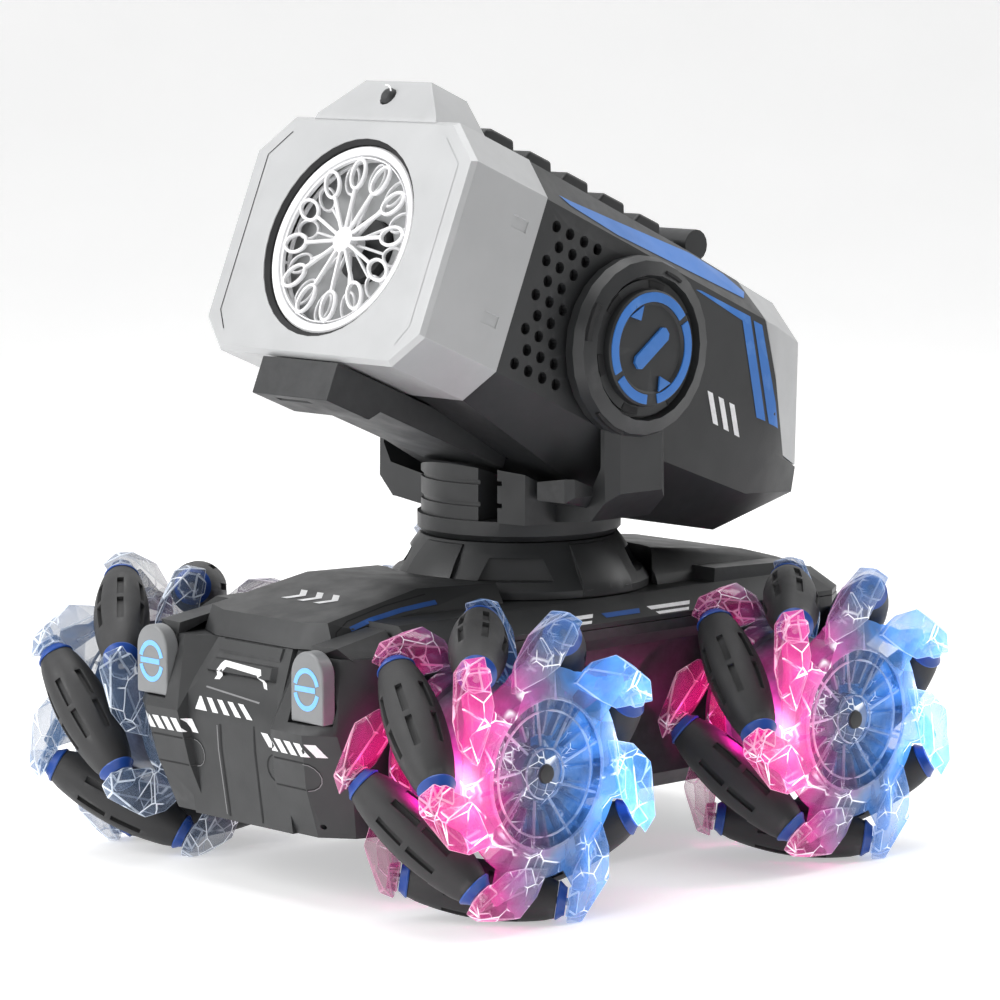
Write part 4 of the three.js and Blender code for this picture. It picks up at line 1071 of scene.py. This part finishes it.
# ------------------------------------------------------------------ floor, light and camera
k = Nodes("floor_pale")
b = k.n("ShaderNodeBsdfPrincipled")
k.l(b.outputs[0], k.out.inputs[0])
co = k.coords()
k.l(k.mix(k.span(k.noise(co, 6.0), 0.3, 0.7, 0.0, 1.0), (0.84, 0.84, 0.84), (0.87, 0.87, 0.87)), b.inputs["Base Color"])
b.inputs["Roughness"].default_value = 0.75
b.inputs["Specular IOR Level"].default_value = 0.2
b.inputs["Emission Color"].default_value = (1.0, 1.0, 1.0, 1)
b.inputs["Emission Strength"].default_value = 0.42
sweep = []
R, LEN, HGT = 1.2, 3.2, 3.0
path = [(-LEN, 0.0)] + [(LEN - R + R * math.sin(i * math.pi / 2 / 12), R - R * math.cos(i * math.pi / 2 / 12)) for i in range(13)] + [(LEN, HGT)]
verts, faces = [], []
for i, (d, z) in enumerate(path):
    for wv in (-5.0, 5.0):
        verts.append((d, wv, z - 0.0003))
for i in range(len(path) - 1):
    faces.append((2 * i, 2 * i + 2, 2 * i + 3, 2 * i + 1))
me = bpy.data.meshes.new("floor_sweep")
me.from_pydata(verts, [], faces)
for p in me.polygons:
    p.use_smooth = True
me.materials.append(k.m)
floor = bpy.data.objects.new("floor_sweep", me)
bpy.context.scene.collection.objects.link(floor)
floor.rotation_euler = (0, 0, math.radians(90 + 46.83))

scene = bpy.context.scene
world = bpy.data.worlds.new("studio")
scene.world = world
world.use_nodes = True
wt = world.node_tree
wt.nodes.clear()
wo = wt.nodes.new("ShaderNodeOutputWorld")
bg = wt.nodes.new("ShaderNodeBackground")
tc = wt.nodes.new("ShaderNodeTexCoord")
sp = wt.nodes.new("ShaderNodeSeparateXYZ")
mr = wt.nodes.new("ShaderNodeMapRange")
mr.interpolation_type = "SMOOTHSTEP"
for i, q in enumerate((0.55, -0.45, 0.16, 0.80)):
    mr.inputs[i + 1].default_value = q
wt.links.new(tc.outputs["Generated"], sp.inputs[0])
wt.links.new(sp.outputs["X"], mr.inputs[0])
wt.links.new(mr.outputs[0], bg.inputs["Strength"])
bg.inputs["Color"].default_value = (1.0, 1.0, 1.0, 1)
wt.links.new(bg.outputs[0], wo.inputs[0])


def area(name, loc, target, size, power, color=(1, 1, 1)):
    d = bpy.data.lights.new(name, "AREA")
    d.shape = "RECTANGLE"
    d.size, d.size_y = size
    d.energy = power
    d.color = color
    o = bpy.data.objects.new(name, d)
    scene.collection.objects.link(o)
    o.location = loc
    o.rotation_mode = "QUATERNION"
    o.rotation_quaternion = (Vector(target) - Vector(loc)).to_track_quat("-Z", "Y")
    return o


area("key", (-0.55, -1.25, 0.95), (0, -0.02, 0.14), (0.9, 0.7), 11)
area("top", (-0.1, 0.0, 1.3), (0, 0, 0.1), (1.2, 1.2), 12)
area("rim", (0.35, 1.0, 0.75), (0, 0, 0.14), (0.4, 0.9), 4)
area("fill", (1.3, -1.0, 0.5), (0, 0, 0.12), (0.8, 0.8), 1.5)
for name, corner_y in (("front", -WHEEL_Y), ("rear", WHEEL_Y)):
    for side, off, color in (("magenta", (2, -31.0, 2.0), (1.0, 0.02, 0.40)), ("blue", (8, 40.0, 8.0), (0.10, 0.45, 1.0))):
        d = bpy.data.lights.new(f"{name}_{side}_glow", "POINT")
        d.energy = 0.045
        d.color = color
        d.shadow_soft_size = 0.003
        o = bpy.data.objects.new(f"{name}_{side}_glow", d)
        scene.collection.objects.link(o)
        o.location = V(WHEEL_X + off[0], corner_y + off[1], WHEEL_Z + off[2] + DZ)
area("front", (0.1, -1.4, 0.35), (0, -0.08, 0.07), (0.6, 0.35), 3.0)

cam_data = bpy.data.cameras.new("camera")
cam = bpy.data.objects.new("camera", cam_data)
scene.collection.objects.link(cam)
scene.camera = cam
az, el, dist = math.radians(46.83), math.radians(7.05), 1.4801
back = Vector((math.sin(az) * math.cos(el), -math.cos(az) * math.cos(el), math.sin(el)))
cam.location = Vector((0.00429, 0.0, 0.12278 + DZ * MM)) + back * dist
cam.rotation_mode = "QUATERNION"
cam.rotation_quaternion = (-back).to_track_quat("-Z", "Y")
cam_data.sensor_width = 36.0
cam_data.sensor_fit = "HORIZONTAL"
cam_data.lens = 4294.86 * 36.0 / 1000.0
cam_data.clip_start, cam_data.clip_end = 0.05, 50
scene.view_settings.view_transform = "Standard"
